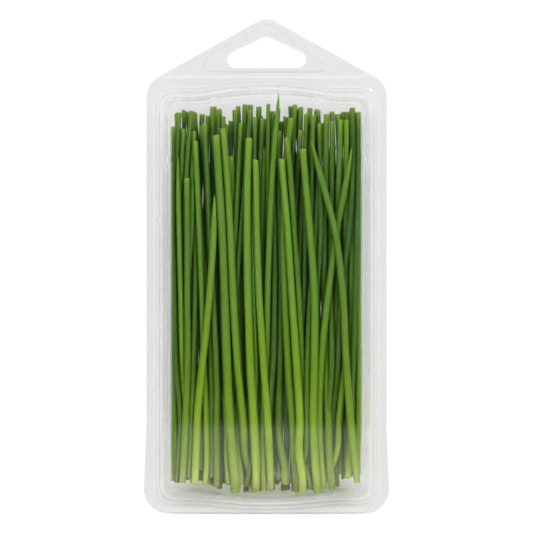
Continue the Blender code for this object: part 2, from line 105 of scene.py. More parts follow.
def feed(tree, node, inputs):
    """Gives a node its inputs by name or number: a socket is linked, anything else is a value."""
    for key, value in inputs.items():
        if isinstance(value, bpy.types.NodeSocket):
            tree.links.new(value, node.inputs[key])
        else:
            node.inputs[key].default_value = value


def add_node(tree, kind, inputs=None, **settings):
    """New shader node of a kind, with its inputs and its other settings."""
    node = tree.nodes.new("ShaderNode" + kind)
    for name, value in settings.items():
        setattr(node, name, value)
    feed(tree, node, inputs or {})
    return node


def ranged(tree, value, old, new, smooth=False):
    """Socket that goes from new[0] to new[1] while the socket value goes from old[0] to old[1]."""
    node = add_node(tree, "MapRange", {
        "Value": value, "From Min": old[0], "From Max": old[1], "To Min": new[0], "To Max": new[1],
    }, interpolation_type="SMOOTHSTEP" if smooth else "LINEAR")
    return node.outputs["Result"]


def new_material(name, inputs):
    """Material with nodes, its node tree and its Principled shader, which gets the inputs."""
    material = bpy.data.materials.new(name)
    material.use_nodes = True
    tree = material.node_tree
    skin = tree.nodes["Principled BSDF"]
    feed(tree, skin, inputs)
    return material, tree, skin


world = bpy.data.worlds.new("studio")
world.use_nodes = True
sky = world.node_tree
direction = add_node(sky, "TexCoord")
height = add_node(sky, "SeparateXYZ", {"Vector": direction.outputs["Generated"]})
dimming = ranged(sky, height.outputs["Z"], (0.70, 0.95), (0.40, 0.02), smooth=True)
feed(sky, sky.nodes["Background"], {"Color": (1.0, 1.0, 1.0, 1.0), "Strength": dimming})
bpy.context.scene.world = world

floor_mesh = bpy.data.meshes.new("floor")
corners = [(-1, -1), (1, -1), (1, 1), (-1, 1)]
floor_mesh.from_pydata(
    [(x * FLOOR_REACH, y * FLOOR_REACH, FLOOR_LEVEL) for x, y in corners], [], [(0, 1, 2, 3)]
)
floor = bpy.data.objects.new("floor", floor_mesh)
bpy.context.scene.collection.objects.link(floor)
table_white, table_tree, table_skin = new_material("table_white", {
    "Base Color": (0.30, 0.30, 0.30, 1.0), "Roughness": 0.9, "Emission Color": (1.0, 1.0, 1.0, 1.0),
})
table_path = add_node(table_tree, "LightPath")
table_glow = ranged(table_tree, table_path.outputs["Is Diffuse Ray"], (0.0, 1.0), (0.68, 0.0))
feed(table_tree, table_skin, {"Emission Strength": table_glow})
floor_mesh.materials.append(table_white)

scene = bpy.context.scene
scene.view_settings.view_transform = "Standard"
scene.cycles.use_denoising = True
scene.cycles.max_bounces = 18
scene.cycles.transmission_bounces = 16
scene.cycles.transparent_max_bounces = 24
scene.cycles.glossy_bounces = 6
scene.cycles.diffuse_bounces = 4
scene.cycles.caustics_refractive = False


# ---- Tray ------------------------------------
# The deep half of the pack: a clear sheet, formed hot over a mould, with a flange all round, a
# house-shaped hang tab, walls that lean out and a flat floor. Its long walls lean in between two
# slanting folds, where a hand grips the pack.
MM = 0.001
SHEET = 0.32
HALF_LENGTH = 106.1
HALF_WIDTH = 51.6
FOOT_HALF_WIDTH = 52.7
FLARE_Y = -70.0
FOOT_RADIUS = 11.0
SHOULDER_RADIUS = 9.0
APEX_RADIUS = 7.5
ROOF_ANGLE = math.radians(29.1)
BOW_HALF = 28.0
BOW_EASE = 0.03
CREASE_Y = 81.6
TAB_MIDDLE = (0.0, 90.5)
TAB_ROWS = 84
HOLE_RADIUS = 3.7
HOLE_CORNERS = ((-13.2, 88.6), (13.2, 88.6), (0.0, 94.7))
TRAY_FLANGE_Z = 18.8
# Half width, top, its bow, foot, its bow, corner radius and height of each fold, flange first.
TRAY_LOOPS = (
    (44.9, 73.6, 3.1, -99.5, 2.6, 5.6, TRAY_FLANGE_Z),
    (44.6, 73.3, 3.1, -99.2, 2.8, 5.4, TRAY_FLANGE_Z - 0.6),
    (42.4, 71.9, 3.1, -97.6, 3.4, 4.6, 2.4),
    (41.6, 71.1, 3.1, -96.8, 3.5, 4.2, 1.0),
    (40.2, 69.7, 3.1, -95.4, 3.6, 3.6, 0.5),
    (38.2, 67.7, 3.1, -93.4, 3.6, 3.0, 0.5),
)
GRIP_LEAN = 2.4
GRIP_TOP = 43.9
GRIP_FOOT = -70.0
GRIP_TOP_SLANT = 4.3
GRIP_FOOT_SLANT = 2.5
GRIP_SOFTNESS = 1.0
GRIP_SIDE = (36.0, 38.0)
CREASE_HEIGHT = 0.14
CREASE_WIDTH = 0.6
CREASE_STEPS = 4
STRIP_STEPS = 9
ARC_POINTS = 12
ROOF_POINTS = 46
HALVINGS = 40
LINE_STEPS = 401
SIDE_GAP = 0.4
CREASE_LAP = 1.5
CUT_SHARE = 0.48
WELD_REACH = 0.02


def smooth_step(value, low, high):
    """0 below low, 1 above high, and 3t^2 - 2t^3 of the share t in between."""
    t = np.clip((value - low) / (high - low), 0.0, 1.0)
    return t * t * (3.0 - 2.0 * t)


def end_bow(x):
    """Bow of an end: u = 1 - (x / half)^2, eased to 0 outside: the mean of u and (u^2 + e)^0.5."""
    u = 1.0 - (x / BOW_HALF) ** 2
    return 0.5 * (u + np.sqrt(u * u + BOW_EASE))


def folded_profile(loops, cut, steps=6):
    """Rows of loop values along the sheet, with each fold rounded.

    A fold at row P becomes a quadratic curve from cut millimetres before P to cut millimetres after
    it: (1-t)^2 A + 2t(1-t) P + t^2 B, on the whole row of values at once.
    """
    rows = np.array(loops, float)
    out = [rows[0]]
    t = np.linspace(0.0, 1.0, steps)[:, None]
    for before, here, after in zip(rows, rows[1:], rows[2:]):
        reach = []
        for other in (before, after):
            run = math.hypot(other[0] - here[0], other[6] - here[6])
            reach.append(here + (other - here) * min(cut / run, CUT_SHARE))
        curve = (1 - t) ** 2 * reach[0] + 2 * t * (1 - t) * here + t**2 * reach[1]
        out.extend(curve)
    out.append(rows[-1])
    return np.array(out)


def spaced(start, end, count, fine=()):
    """Even values from start to end, with extra ones (low, high, count) where detail is."""
    values = [np.linspace(start, end, count)]
    values += [np.linspace(low, high, many) for low, high, many in fine]
    joined = np.unique(np.round(np.concatenate(values), 4))
    return joined if start < end else joined[::-1]


CORNER_ANGLES = np.linspace(0.0, math.pi / 2, 13)[1:-1]
END_SHARE = spaced(1.0, -1.0, 41, ((0.50, 0.64, 18), (-0.64, -0.50, 18), (0.66, 0.90, 25)))
FOOT_SHARE = spaced(-1.0, 1.0, 41, ((0.62, 0.75, 18), (-0.75, -0.62, 18)))
SIDE_SHARE = spaced(0.0, 1.0, 81, ((0.115, 0.165, 24),))


def formed_rings(rows):
    """Rounded rectangles with bowed ends, one a row, anticlockwise from the right side's top.

    Corners are quarter circles; the ends are y = end + bow * end_bow(x); the sides are straight.
    The result has one ring a row and one column for each place along the loop.
    """
    width, top, rise, low, drop, radius, z = (rows[:, [i]] for i in range(7))
    inner = width - radius
    angle = CORNER_ANGLES[None, :]
    x_top = inner * END_SHARE[None, :]
    x_foot = inner * FOOT_SHARE[None, :]
    y_side = (top - radius) + (low + radius - top + radius) * SIDE_SHARE[None, :]
    columns_x = [
        inner + radius * np.cos(angle), x_top, -inner - radius * np.sin(angle),
        np.broadcast_to(-width, y_side.shape), -inner - radius * np.cos(angle), x_foot,
        inner + radius * np.sin(angle), np.broadcast_to(width, y_side.shape),
    ]
    columns_y = [
        top - radius + radius * np.sin(angle), top + rise * end_bow(x_top),
        top - radius + radius * np.cos(angle), y_side,
        low + radius - radius * np.sin(angle), low - drop * end_bow(x_foot),
        low + radius - radius * np.cos(angle), y_side[:, ::-1],
    ]
    x = np.concatenate(columns_x, axis=1)
    y = np.concatenate(columns_y, axis=1)
    return np.stack([x, y, np.broadcast_to(z, x.shape)], axis=-1)


def arc(centre, radius, start, end, count):
    """Points on a circle from angle start to angle end."""
    angle = np.linspace(start, end, count)
    return np.column_stack([centre[0] + radius * np.cos(angle), centre[1] + radius * np.sin(angle)])


def along_path(path, count):
    """Points spread evenly by length along a poly line, both ends included."""
    length = np.concatenate([[0.0], np.cumsum(np.hypot(*np.diff(path, axis=0).T))])
    want = np.linspace(0.0, length[-1], count)
    return np.column_stack([np.interp(want, length, values) for values in path.T])


def roof_line(inset):
    """Right roof slope: unit normal, distance, the shoulder's centre, the crease's end on it."""
    normal = np.array([math.sin(ROOF_ANGLE), math.cos(ROOF_ANGLE)])
    distance = (HALF_LENGTH - APEX_RADIUS) * normal[1] + APEX_RADIUS
    shoulder_x = HALF_WIDTH - SHOULDER_RADIUS
    shoulder_y = (distance - SHOULDER_RADIUS - shoulder_x * normal[0]) / normal[1]
    crease_x = (distance - inset - CREASE_Y * normal[1]) / normal[0]
    return normal, distance, np.array([shoulder_x, shoulder_y]), np.array([crease_x, CREASE_Y])


def outline_ring(first_ring, inset):
    """Flange edge and crease, one point for each column of the first formed ring.

    Down the sides it is the outline, with its flare and foot corners; across the top it runs round
    the shoulders up to the crease and then along the crease under the hang tab. The slice that
    comes with it says which of its points lie on the crease.
    """
    normal, distance, shoulder, crease_end = roof_line(inset)
    half_width = HALF_WIDTH - inset
    corner = len(CORNER_ANGLES)
    start_y = first_ring[-1, 1]
    turn = math.pi / 2 - ROOF_ANGLE
    shoulder_arc = arc(shoulder, SHOULDER_RADIUS - inset, 0.0, turn, ARC_POINTS)
    up_side = np.vstack([[half_width, start_y + SIDE_GAP], shoulder_arc, crease_end])
    side_part = along_path(up_side, corner - CREASE_STEPS)
    crease_part = np.column_stack([
        np.linspace(crease_end[0], first_ring[corner, 0], CREASE_STEPS + 2)[1:-1],
        np.linspace(crease_end[1], CREASE_Y, CREASE_STEPS + 2)[1:-1],
    ])
    right = np.vstack([side_part, crease_part])
    across = first_ring[corner:corner + len(END_SHARE), 0]
    top = np.column_stack([across, np.full(len(across), CREASE_Y)])
    left = (right * (-1.0, 1.0))[::-1]
    foot_x = FOOT_HALF_WIDTH - FOOT_RADIUS
    foot_y = FOOT_RADIUS - HALF_LENGTH
    side_y = start_y + (foot_y - start_y) * SIDE_SHARE
    flare = np.clip((FLARE_Y - side_y) / (FLARE_Y - foot_y), 0.0, 1.0)
    side_x = half_width + (FOOT_HALF_WIDTH - HALF_WIDTH) * flare
    foot_radius = FOOT_RADIUS - inset
    corner_left = np.column_stack([
        -foot_x - foot_radius * np.cos(CORNER_ANGLES), foot_y - foot_radius * np.sin(CORNER_ANGLES),
    ])
    corner_right = (corner_left * (-1.0, 1.0))[::-1]
    foot = np.column_stack([
        foot_x * FOOT_SHARE, np.full(len(FOOT_SHARE), inset - HALF_LENGTH),
    ])
    ring = np.vstack([
        right, top, left, np.column_stack([-side_x, side_y]), corner_left, foot, corner_right,
        np.column_stack([side_x, side_y])[::-1],
    ])
    past_end = CREASE_STEPS + 1
    return ring, slice(corner - past_end, corner + len(across) + past_end)


def hole_distance(points):
    """Signed distance to the hang hole: to the triangle of its corner centres, less the radius."""
    corners = np.array(HOLE_CORNERS)
    inside = np.full(len(points), -np.inf)
    nearest = np.full(len(points), np.inf)
    for a, b in zip(corners, np.roll(corners, -1, axis=0)):
        edge = b - a
        normal = np.array([edge[1], -edge[0]]) / np.hypot(*edge)
        share = np.clip((points - a) @ edge / (edge @ edge), 0.0, 1.0)
        nearest = np.minimum(nearest, np.hypot(*(points - a - share[:, None] * edge).T))
        inside = np.maximum(inside, (points - a) @ normal)
    return np.where(inside < 0.0, -nearest, nearest) - HOLE_RADIUS


def tab_rings(crease_ring, inset, rows, detail):
    """Rings from the hang hole out to the tab's edge, in plan.

    Each place on the tab's edge is joined to the middle of the hole, and halving finds the hole's
    rim on that line. The rings are spread from the rim to the edge so that the density
    detail(x, y), summed along the line, grows by the same amount from ring to ring.
    """
    apex = arc((0.0, HALF_LENGTH - APEX_RADIUS), APEX_RADIUS - inset, math.pi / 2 - ROOF_ANGLE,
               math.pi / 2, ARC_POINTS)
    slope = along_path(np.vstack([crease_ring[0], apex[0]]), ROOF_POINTS)
    right = np.vstack([slope[:-1], apex])
    edge = np.vstack([right, (right * (-1.0, 1.0))[::-1][1:-1], crease_ring[::-1][:-1]])
    middle = np.array(TAB_MIDDLE)
    low, high = np.zeros(len(edge)), np.ones(len(edge))
    for _ in range(HALVINGS):
        half = 0.5 * (low + high)
        outside = hole_distance(middle + half[:, None] * (edge - middle)) > 0.0
        high = np.where(outside, half, high)
        low = np.where(outside, low, half)
    rim = middle + high[:, None] * (edge - middle)
    along = np.linspace(0.0, 1.0, LINE_STEPS)
    line = rim + along[:, None, None] * (edge - rim)
    total = np.cumsum(detail(line[..., 0], line[..., 1]), axis=0)
    total = (total - total[0]) / (total[-1] - total[0])
    even = np.linspace(0.0, 1.0, rows)
    share = np.stack([np.interp(even, column, along) for column in total.T], axis=-1)
    return rim + share[..., None] * (edge - rim)


def grid_faces(rows, columns, first=0, closed=True):
    """Corner numbers of a grid's quads; in a closed one the last column meets the first."""
    row = np.arange(rows - 1)[:, None] * columns + first
    column = np.arange(columns if closed else columns - 1)[None, :]
    after = (column + 1) % columns
    faces = np.stack([row + column, row + after, row + columns + after, row + columns + column], -1)
    return faces.reshape(-1, 4)


def add_piece(name, points, faces, material):
    """Mesh object at the origin from points in millimetres and lists of corner numbers."""
    mesh = bpy.data.meshes.new(name)
    mesh.from_pydata((np.asarray(points) * MM).tolist(), [], [list(map(int, f)) for f in faces])
    mesh.materials.append(material)
    mesh.shade_smooth()
    piece = bpy.data.objects.new(name, mesh)
    bpy.context.scene.collection.objects.link(piece)
    return piece


def thicken(piece, thickness, offset):
    """Gives a surface its thickness in millimetres; at offset -1 it is the sheet's upper face."""
    solid = piece.modifiers.new("sheet", "SOLIDIFY")
    solid.thickness = thickness * MM
    solid.offset = offset


def formed_sheet(name, loops, cut, inset, shape_wall, shape_tab, tab_detail, material):
    """One half of the pack: flange, formed rings, flat middle and hang tab, given its thickness.

    shape_wall moves the points of the rings, shape_tab gives the height of the tab's points and
    tab_detail says where on the tab they lie closest.
    """
    rows = folded_profile(loops, cut)
    rings = formed_rings(rows)
    flange, crease = outline_ring(rings[0], inset)
    edge = np.hstack([flange, np.full((len(flange), 1), loops[0][6])])
    step = np.linspace(0.0, 1.0, STRIP_STEPS + 1)[:-1, None, None] ** 2
    strip = edge + step * (rings[0] - edge)
    near_tab = strip[..., 1] > CREASE_Y - CREASE_LAP
    strip[..., 2] += shape_tab(strip[..., 0], strip[..., 1]) * near_tab
    body = shape_wall(np.concatenate([strip, rings]))
    tab = tab_rings(flange[crease], inset, TAB_ROWS, tab_detail)
    tab_z = loops[0][6] + shape_tab(tab[..., 0], tab[..., 1])
    tab = np.concatenate([tab, tab_z[..., None]], axis=-1)
    columns = body.shape[1]
    points = np.vstack([body.reshape(-1, 3), tab.reshape(-1, 3)])
    faces = list(grid_faces(len(body), columns))
    faces += list(grid_faces(tab.shape[0], tab.shape[1], body.shape[0] * columns)[:, ::-1])
    faces.append(np.arange((len(body) - 1) * columns, len(body) * columns))
    sheet = add_piece(name, points, faces, material)
    weld = sheet.modifiers.new("weld", "WELD")
    weld.merge_threshold = WELD_REACH * MM
    thicken(sheet, SHEET, -1.0)
    return sheet


def colour_ramp(tree, value, steps):
    """Colour socket that runs through steps of place and colour while the socket value grows."""
    node = add_node(tree, "ValToRGB", {"Fac": value})
    elements = node.color_ramp.elements
    elements[0].position, elements[1].position = steps[0][0], steps[-1][0]
    for place, _ in steps[1:-1]:
        elements.new(place)
    for element, (_, colour) in zip(elements, steps):
        element.color = (*colour, 1.0)
    return node.outputs["Color"]


def mixed(tree, share, first, second):
    """Colour socket between two colours; the socket share says how much of the second it has."""
    node = add_node(tree, "Mix", {0: share, 6: first, 7: second}, data_type="RGBA")
    return node.outputs[2]


def make_drawn_sheet():
    """Node group of what drawing the hot sheet does to it, and of painted shade at its foot end,
    for both halves.

    Shown is how much of the sheet shows at all. It falls evenly from Body at height Flat Z to Drawn
    Body at height Drawn Z and on steep walls, because the sheet is thinner where it was drawn. Tint
    is the sheet's grey, with painted shade at the foot end: duller and greener there, standing in
    for the shadow and the green reflection of the cut stems. Waves is the height of faint waves
    from forming.
    """
    group = bpy.data.node_groups.new("drawn_sheet", "ShaderNodeTree")
    for way, kind, labels in (
        ("INPUT", "NodeSocketFloat", ("Body", "Drawn Body", "Flat Z", "Drawn Z")),
        ("OUTPUT", "NodeSocketFloat", ("Shown", "Waves")),
        ("OUTPUT", "NodeSocketColor", ("Tint",)),
    ):
        for label in labels:
            group.interface.new_socket(label, in_out=way, socket_type=kind)
    given = group.nodes.new("NodeGroupInput").outputs
    heights = given["Flat Z"], given["Drawn Z"]
    place = add_node(group, "TexCoord")
    apart = add_node(group, "SeparateXYZ", {"Vector": place.outputs["Object"]})
    drawing = ranged(group, apart.outputs["Z"], heights, (given["Body"], given["Drawn Body"]))
    facing = add_node(group, "SeparateXYZ", {"Vector": place.outputs["Normal"]})
    level = add_node(group, "Math", {0: facing.outputs["Z"]}, operation="ABSOLUTE")
    shown = ranged(group, level.outputs["Value"], (0.4, 0.95), (given["Drawn Body"], drawing))
    # Painted shade: between the stems' feet and the foot wall, in the middle of the end, the sheet
    # turns a dull grey-green.
    along = ranged(group, apart.outputs["Y"], (-0.086, -0.106), (0.0, 1.0))
    to_foot = colour_ramp(group, along, [
        (stop, (grey, grey, grey))
        for stop, grey in ((0.20, 0.0), (0.45, 1.0), (0.60, 1.0), (0.74, 0.5), (0.90, 0.2))
    ])
    off_middle = add_node(group, "Math", {0: apart.outputs["X"]}, operation="ABSOLUTE")
    painted_foot_shade = ranged(group, off_middle.outputs["Value"], (0.047, 0.028), (0.0, to_foot), smooth=True)
    tint_and_shade = mixed(group, painted_foot_shade, (0.76, 0.76, 0.76, 1.0), (0.24, 0.27, 0.15, 1.0))
    waves = add_node(
        group, "TexNoise", {"Vector": place.outputs["Object"], "Scale": 28.0, "Detail": 1.0}
    )
    results = group.nodes.new("NodeGroupOutput")
    feed(group, results, {"Shown": shown, "Waves": waves.outputs["Fac"], "Tint": tint_and_shade})
    return group


drawn_sheet = make_drawn_sheet()


def clear_sheet(name, body, flat_z, drawn_body, drawn_z):
    """Clear, glossy sheet that lets lamps through, with the drawn sheet's group at its own values.

    Heights are in millimetres.
    """
    material, tree, glass = new_material(
        name, {"Roughness": 0.035, "IOR": 1.5, "Transmission Weight": 1.0}
    )
    drawn = add_node(tree, "Group", {
        "Body": body, "Drawn Body": drawn_body, "Flat Z": flat_z * MM, "Drawn Z": drawn_z * MM,
    }, node_tree=drawn_sheet).outputs
    bump = add_node(tree, "Bump", {"Strength": 0.02, "Distance": 0.0004, "Height": drawn["Waves"]})
    feed(tree, glass, {
        "Base Color": drawn["Tint"], "Alpha": drawn["Shown"], "Normal": bump.outputs["Normal"],
    })
    through = add_node(tree, "BsdfTransparent", {"Color": (0.95, 0.955, 0.95, 1.0)})
    to_lamp = add_node(tree, "LightPath").outputs["Is Shadow Ray"]
    mix = add_node(
        tree, "MixShader", {0: to_lamp, 1: glass.outputs["BSDF"], 2: through.outputs["BSDF"]}
    )
    feed(tree, tree.nodes["Material Output"], {"Surface": mix.outputs["Shader"]})
    return material


def lean_in(points):
    """Moves the long walls inwards between the grip folds, more the deeper a point lies."""
    x, y, z = points[..., 0], points[..., 1], points[..., 2]
    depth = np.clip((TRAY_FLANGE_Z - z) / TRAY_FLANGE_Z, 0.0, 1.0)
    top, foot = GRIP_TOP - GRIP_TOP_SLANT * depth, GRIP_FOOT + GRIP_FOOT_SLANT * depth
    grip = smooth_step(y, foot - GRIP_SOFTNESS, foot + GRIP_SOFTNESS)
    grip *= 1.0 - smooth_step(y, top - GRIP_SOFTNESS, top + GRIP_SOFTNESS)
    on_side = smooth_step(np.abs(x), *GRIP_SIDE)
    moved = points.copy()
    moved[..., 0] -= np.sign(x) * GRIP_LEAN * depth * grip * on_side
    return moved


def crease_ridge(x, y):
    """Low rounded ridge along the crease under the tab."""
    return CREASE_HEIGHT * np.exp(-((y - CREASE_Y) / CREASE_WIDTH) ** 2)


def plain_tab(x, y):
    """Even density of points over the tray's tab."""
    return np.ones_like(x)


deep_drawn = clear_sheet("deep_drawn_sheet", 0.38, 18.0, 0.24, 12.0)
tray = formed_sheet(
    "tray_sheet", TRAY_LOOPS, 0.9, 0.3, lean_in, crease_ridge, plain_tab, deep_drawn
)
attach(tray, "base")
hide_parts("tray")


# ---- Lid -------------------------------------
# The shallow half of the same sheet: a flange that lies on the tray's, a step and a raised ridge
# that stiffen it, and a plug that sinks into the tray with a flat panel. Six knobs pressed out of
# the plug's wall snap under the tray's edge, and the tab round the hang hole is embossed.
LID_FLANGE_Z = 19.6
STEP_Z = 20.3
RIDGE_Z = 22.4
PLUG_Z = 16.4
PANEL_Z = 16.9
LID_LOOPS = (
    (48.2, 76.7, 3.2, -102.4, 2.2, 7.5, LID_FLANGE_Z),
    (47.6, 76.1, 3.2, -101.9, 2.1, 7.0, STEP_Z),
    (46.2, 74.8, 2.9, -100.7, 1.8, 6.2, STEP_Z),
    (45.6, 74.2, 2.9, -100.1, 1.9, 6.0, RIDGE_Z),
    (43.8, 72.4, 3.1, -98.5, 2.2, 5.0, RIDGE_Z),
    (42.2, 70.9, 3.0, -96.8, 3.6, 4.2, PLUG_Z),
    (41.3, 70.0, 3.0, -95.9, 3.6, 3.9, PLUG_Z),
    (40.8, 69.5, 3.0, -95.4, 3.6, 3.7, PANEL_Z),
    (39.0, 67.7, 3.0, -93.6, 3.6, 3.2, PANEL_Z),
    (37.0, 65.7, 3.0, -91.6, 3.6, 2.8, PANEL_Z),
)
KNOBS = ((22.5, 73.2), (-22.5, 73.2), (42.6, 46.0), (-42.6, 46.0), (27.0, -98.0), (-27.0, -98.0))
KNOB_RADIUS = 1.4
KNOB_REACH = 0.8
KNOB_FOOT = (PLUG_Z - 0.6, PLUG_Z + 0.3)
KNOB_TOP = (18.6, 19.4)
KNOB_NEAR = 6.0
KNOB_SIDE = 40.0
LUG = (28.9, 33.3, 73.6, 75.8)
LUG_HEIGHT = 0.3
LUG_EDGE = 0.5
LUG_HEAD_EDGE = 0.4
EMBOSS_HALF = 28.0
EMBOSS_FOOT = 82.9
EMBOSS_MARGIN = 2.1
EMBOSS_ROUND = 1.5
EMBOSS_WIDTH = 1.7
EMBOSS_SLOPE = 0.4
EMBOSS_DENSER = 14.0
EMBOSS_DENSE_HALF = 0.4
FRAME_HEIGHT = 0.4
FIELD_DROP = 0.2
NOTCH_X = 10.9
NOTCH_DEPTH = 2.0
NOTCH_HALF = 0.5


def knobs_and_lug(points):
    """Presses the snap knobs out of the plug's wall and raises the small lug on the ridge.

    A knob pushes the wall away from the pack's middle by a bell of the distance along the wall,
    between the panel and two thirds of the way up.
    """
    moved = points.copy()
    x, y, z = points[..., 0], points[..., 1], points[..., 2]
    height = smooth_step(z, *KNOB_FOOT) * (1.0 - smooth_step(z, *KNOB_TOP))
    for knob_x, knob_y in KNOBS:
        on_side = abs(knob_x) > KNOB_SIDE
        near = np.hypot(x - knob_x, y - knob_y) < KNOB_NEAR
        off = np.abs((y - knob_y) if on_side else (x - knob_x)) / KNOB_RADIUS
        bell = np.sqrt(np.clip(1.0 - off**2, 0.0, None)) * height * near * KNOB_REACH
        axis = 0 if on_side else 1
        moved[..., axis] += bell * np.sign(knob_x if on_side else knob_y)
    left, right, low, high = LUG
    across = smooth_step(x, left, left + LUG_EDGE) * (1.0 - smooth_step(x, right - LUG_EDGE, right))
    up = smooth_step(y, low, low + LUG_EDGE) * (1.0 - smooth_step(y, high - LUG_HEAD_EDGE, high))
    moved[..., 2] += LUG_HEIGHT * (across * up) * (z > RIDGE_Z - 0.8)
    return moved


def frame_depth(x, y):
    """Distance of a point on the tab inside the embossed frame's outer edge.

    It is the smallest of the distances to the roof slope less a margin, to the foot line and to the
    ends, taken softly so that the corners are round. Right of the notch the margin is wider.
    """
    normal, distance = roof_line(0.0)[:2]
    wider = smooth_step(x, NOTCH_X - NOTCH_HALF, NOTCH_X + NOTCH_HALF)
    margin = EMBOSS_MARGIN + NOTCH_DEPTH * wider
    away = np.stack([
        np.abs(x) * normal[0] + y * normal[1] - (distance - margin),
        EMBOSS_FOOT - y,
        np.abs(x) - EMBOSS_HALF,
    ])
    return -EMBOSS_ROUND * np.log(np.exp(np.clip(away, -30.0, 30.0) / EMBOSS_ROUND).sum(axis=0))


def tab_emboss(x, y):
    """Height of the tab: the crease, and a raised frame with a lower field inside."""
    depth = frame_depth(x, y)
    frame_up = smooth_step(depth, 0.0, EMBOSS_SLOPE)
    field_down = smooth_step(depth, EMBOSS_WIDTH, EMBOSS_WIDTH + EMBOSS_SLOPE)
    return crease_ridge(x, y) + FRAME_HEIGHT * frame_up - FIELD_DROP * field_down


def emboss_detail(x, y):
    """Density of points: high on the two slopes of the frame, and low elsewhere."""
    depth = frame_depth(x, y)
    density = np.ones_like(x)
    for edge in (0.0, EMBOSS_WIDTH):
        off = (depth - edge - 0.5 * EMBOSS_SLOPE) / EMBOSS_DENSE_HALF
        density += EMBOSS_DENSER * np.exp(-off**4)
    return density


lid_clear = clear_sheet("lid_clear_sheet", 0.52, 20.0, 0.30, 22.4)
lid = formed_sheet(
    "lid_sheet", LID_LOOPS, 0.42, 0.0, knobs_and_lug, tab_emboss, emboss_detail, lid_clear
)
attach(lid, "lid")
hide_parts("lid")


# ---- Hinge -----------------------------------
# Tray and lid are one sheet, folded along the foot of the pack. The fold is a narrow half round
# that joins the two flange edges; on the real pack it straightens when the lid swings open, but
# here it is fixed and belongs to neither half.
FOLD_HALF_WIDTH = FOOT_HALF_WIDTH - FOOT_RADIUS
FOLD_GAP = 0.5
FOLD_LEVEL = 18.95
FOLD_LAP = 0.1
FOLD_SHEET = 0.3


def fold_strip():
    """Half ellipse from the tray's edge out to the foot line and back to the lid's, along x.

    It bulges by the root of 1 - (x / half)^8, so it dies away at the foot's round corners.
    """
    across = np.linspace(-FOLD_HALF_WIDTH, FOLD_HALF_WIDTH, 60)[:, None]
    turn = np.linspace(-math.pi / 2, math.pi / 2, 13)[None, :]
    half_rise = 0.5 * (LID_FLANGE_Z - TRAY_FLANGE_Z)
    rim = FOLD_GAP - HALF_LENGTH + FOLD_LAP
    bulge = np.sqrt(np.clip(1.0 - (across / FOLD_HALF_WIDTH) ** 8, 0.0, None))
    y = rim - (FOLD_GAP - FOLD_LAP) * bulge * np.cos(turn)
    z = FOLD_LEVEL + half_rise * np.sin(turn) + 0.0 * across
    points = np.stack([across + 0.0 * turn, y, z], axis=-1)
    return points.reshape(-1, 3), grid_faces(*points.shape[:2], closed=False)


fold_points, fold_faces = fold_strip()
fold = add_piece("fold_strip", fold_points, fold_faces, lid_clear)
thicken(fold, FOLD_SHEET, 0.0)
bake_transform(fold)


# ---- Chives ----------------------------------
# The bunch is fifty shoots laid in the tray foot down. Each is two hollow leaves grown together
# at the cut foot, side by side or in one sheath. Leaves that lie on top follow the courses below; a
# seeded rule lays the others, and all are pushed apart until none runs into another or the pack.
SEED = 21
SHOOTS = 50
SPREAD = 38.5
JITTER = (0.2, 0.8)
MATE_DRIFT = 4.5
MATE_LOWER = 1.0
MATE_DROP = (2.8, 6.5)
LOOSE_MATE_DROP = (-4.0, 4.0)
LOOSE_BEND = (0.6, 1.2, 2.0, 2.6, 3.2)
LOOSE_Z = (2.2, 11.5)
# Where cut ends lie: a line's end, bow and half width, and a spread's gap, reach and ease.
FOOT_LINE = (-92.0, -6.2, 40.0)
FOOT_SPREAD = (0.2, 8.5, 1.6)
TOP_LINE = (67.6, 2.6, 30.0)
TOP_SPREAD = (0.0, -12.0, 2.0)
STATIONS = np.linspace(-98.0, 72.0, 7)
SPAN_CHECKS = 8
FLOOR_Z = 0.8
CEILING_Z = 15.8
LEAD_ROOM = 2.0
ROOM_HALF_WIDTH = 39.6
ROOM_LEAN = 0.22
ROOM_LIMIT = 41.3
FLOOR_INSET = 1.3
FLOOR_ROUNDING = 3.5
LEAF_RADIUS = (1.05, 1.36)
FOOT_WIDER = 1.13
TOP_SLIMMER = 0.90
SHEATH_RADIUS = 1.72
SHEATH_LENGTH = (20.0, 27.0)
SHEATH_OFFSET = 0.7
SHEATHED_SHARE = 0.3
SIDE_BY_SIDE = 0.78
CLEAR = 0.32
ROUNDS = 1400
EASED_SHARE = 0.85
OVERLAP_LEFT = 0.02
COOLING = 3.0
BENDS = (0.04, 0.12)
PULLS = (0.04, 0.46)
PAST_FOOT = 4.0
PAST_TOP = 3.0
DRIFT_POWER = 1.2
TIP_LENGTH = 16.0
TIP_BLUNT = 0.22
MOUTH_ROOM = 3.0

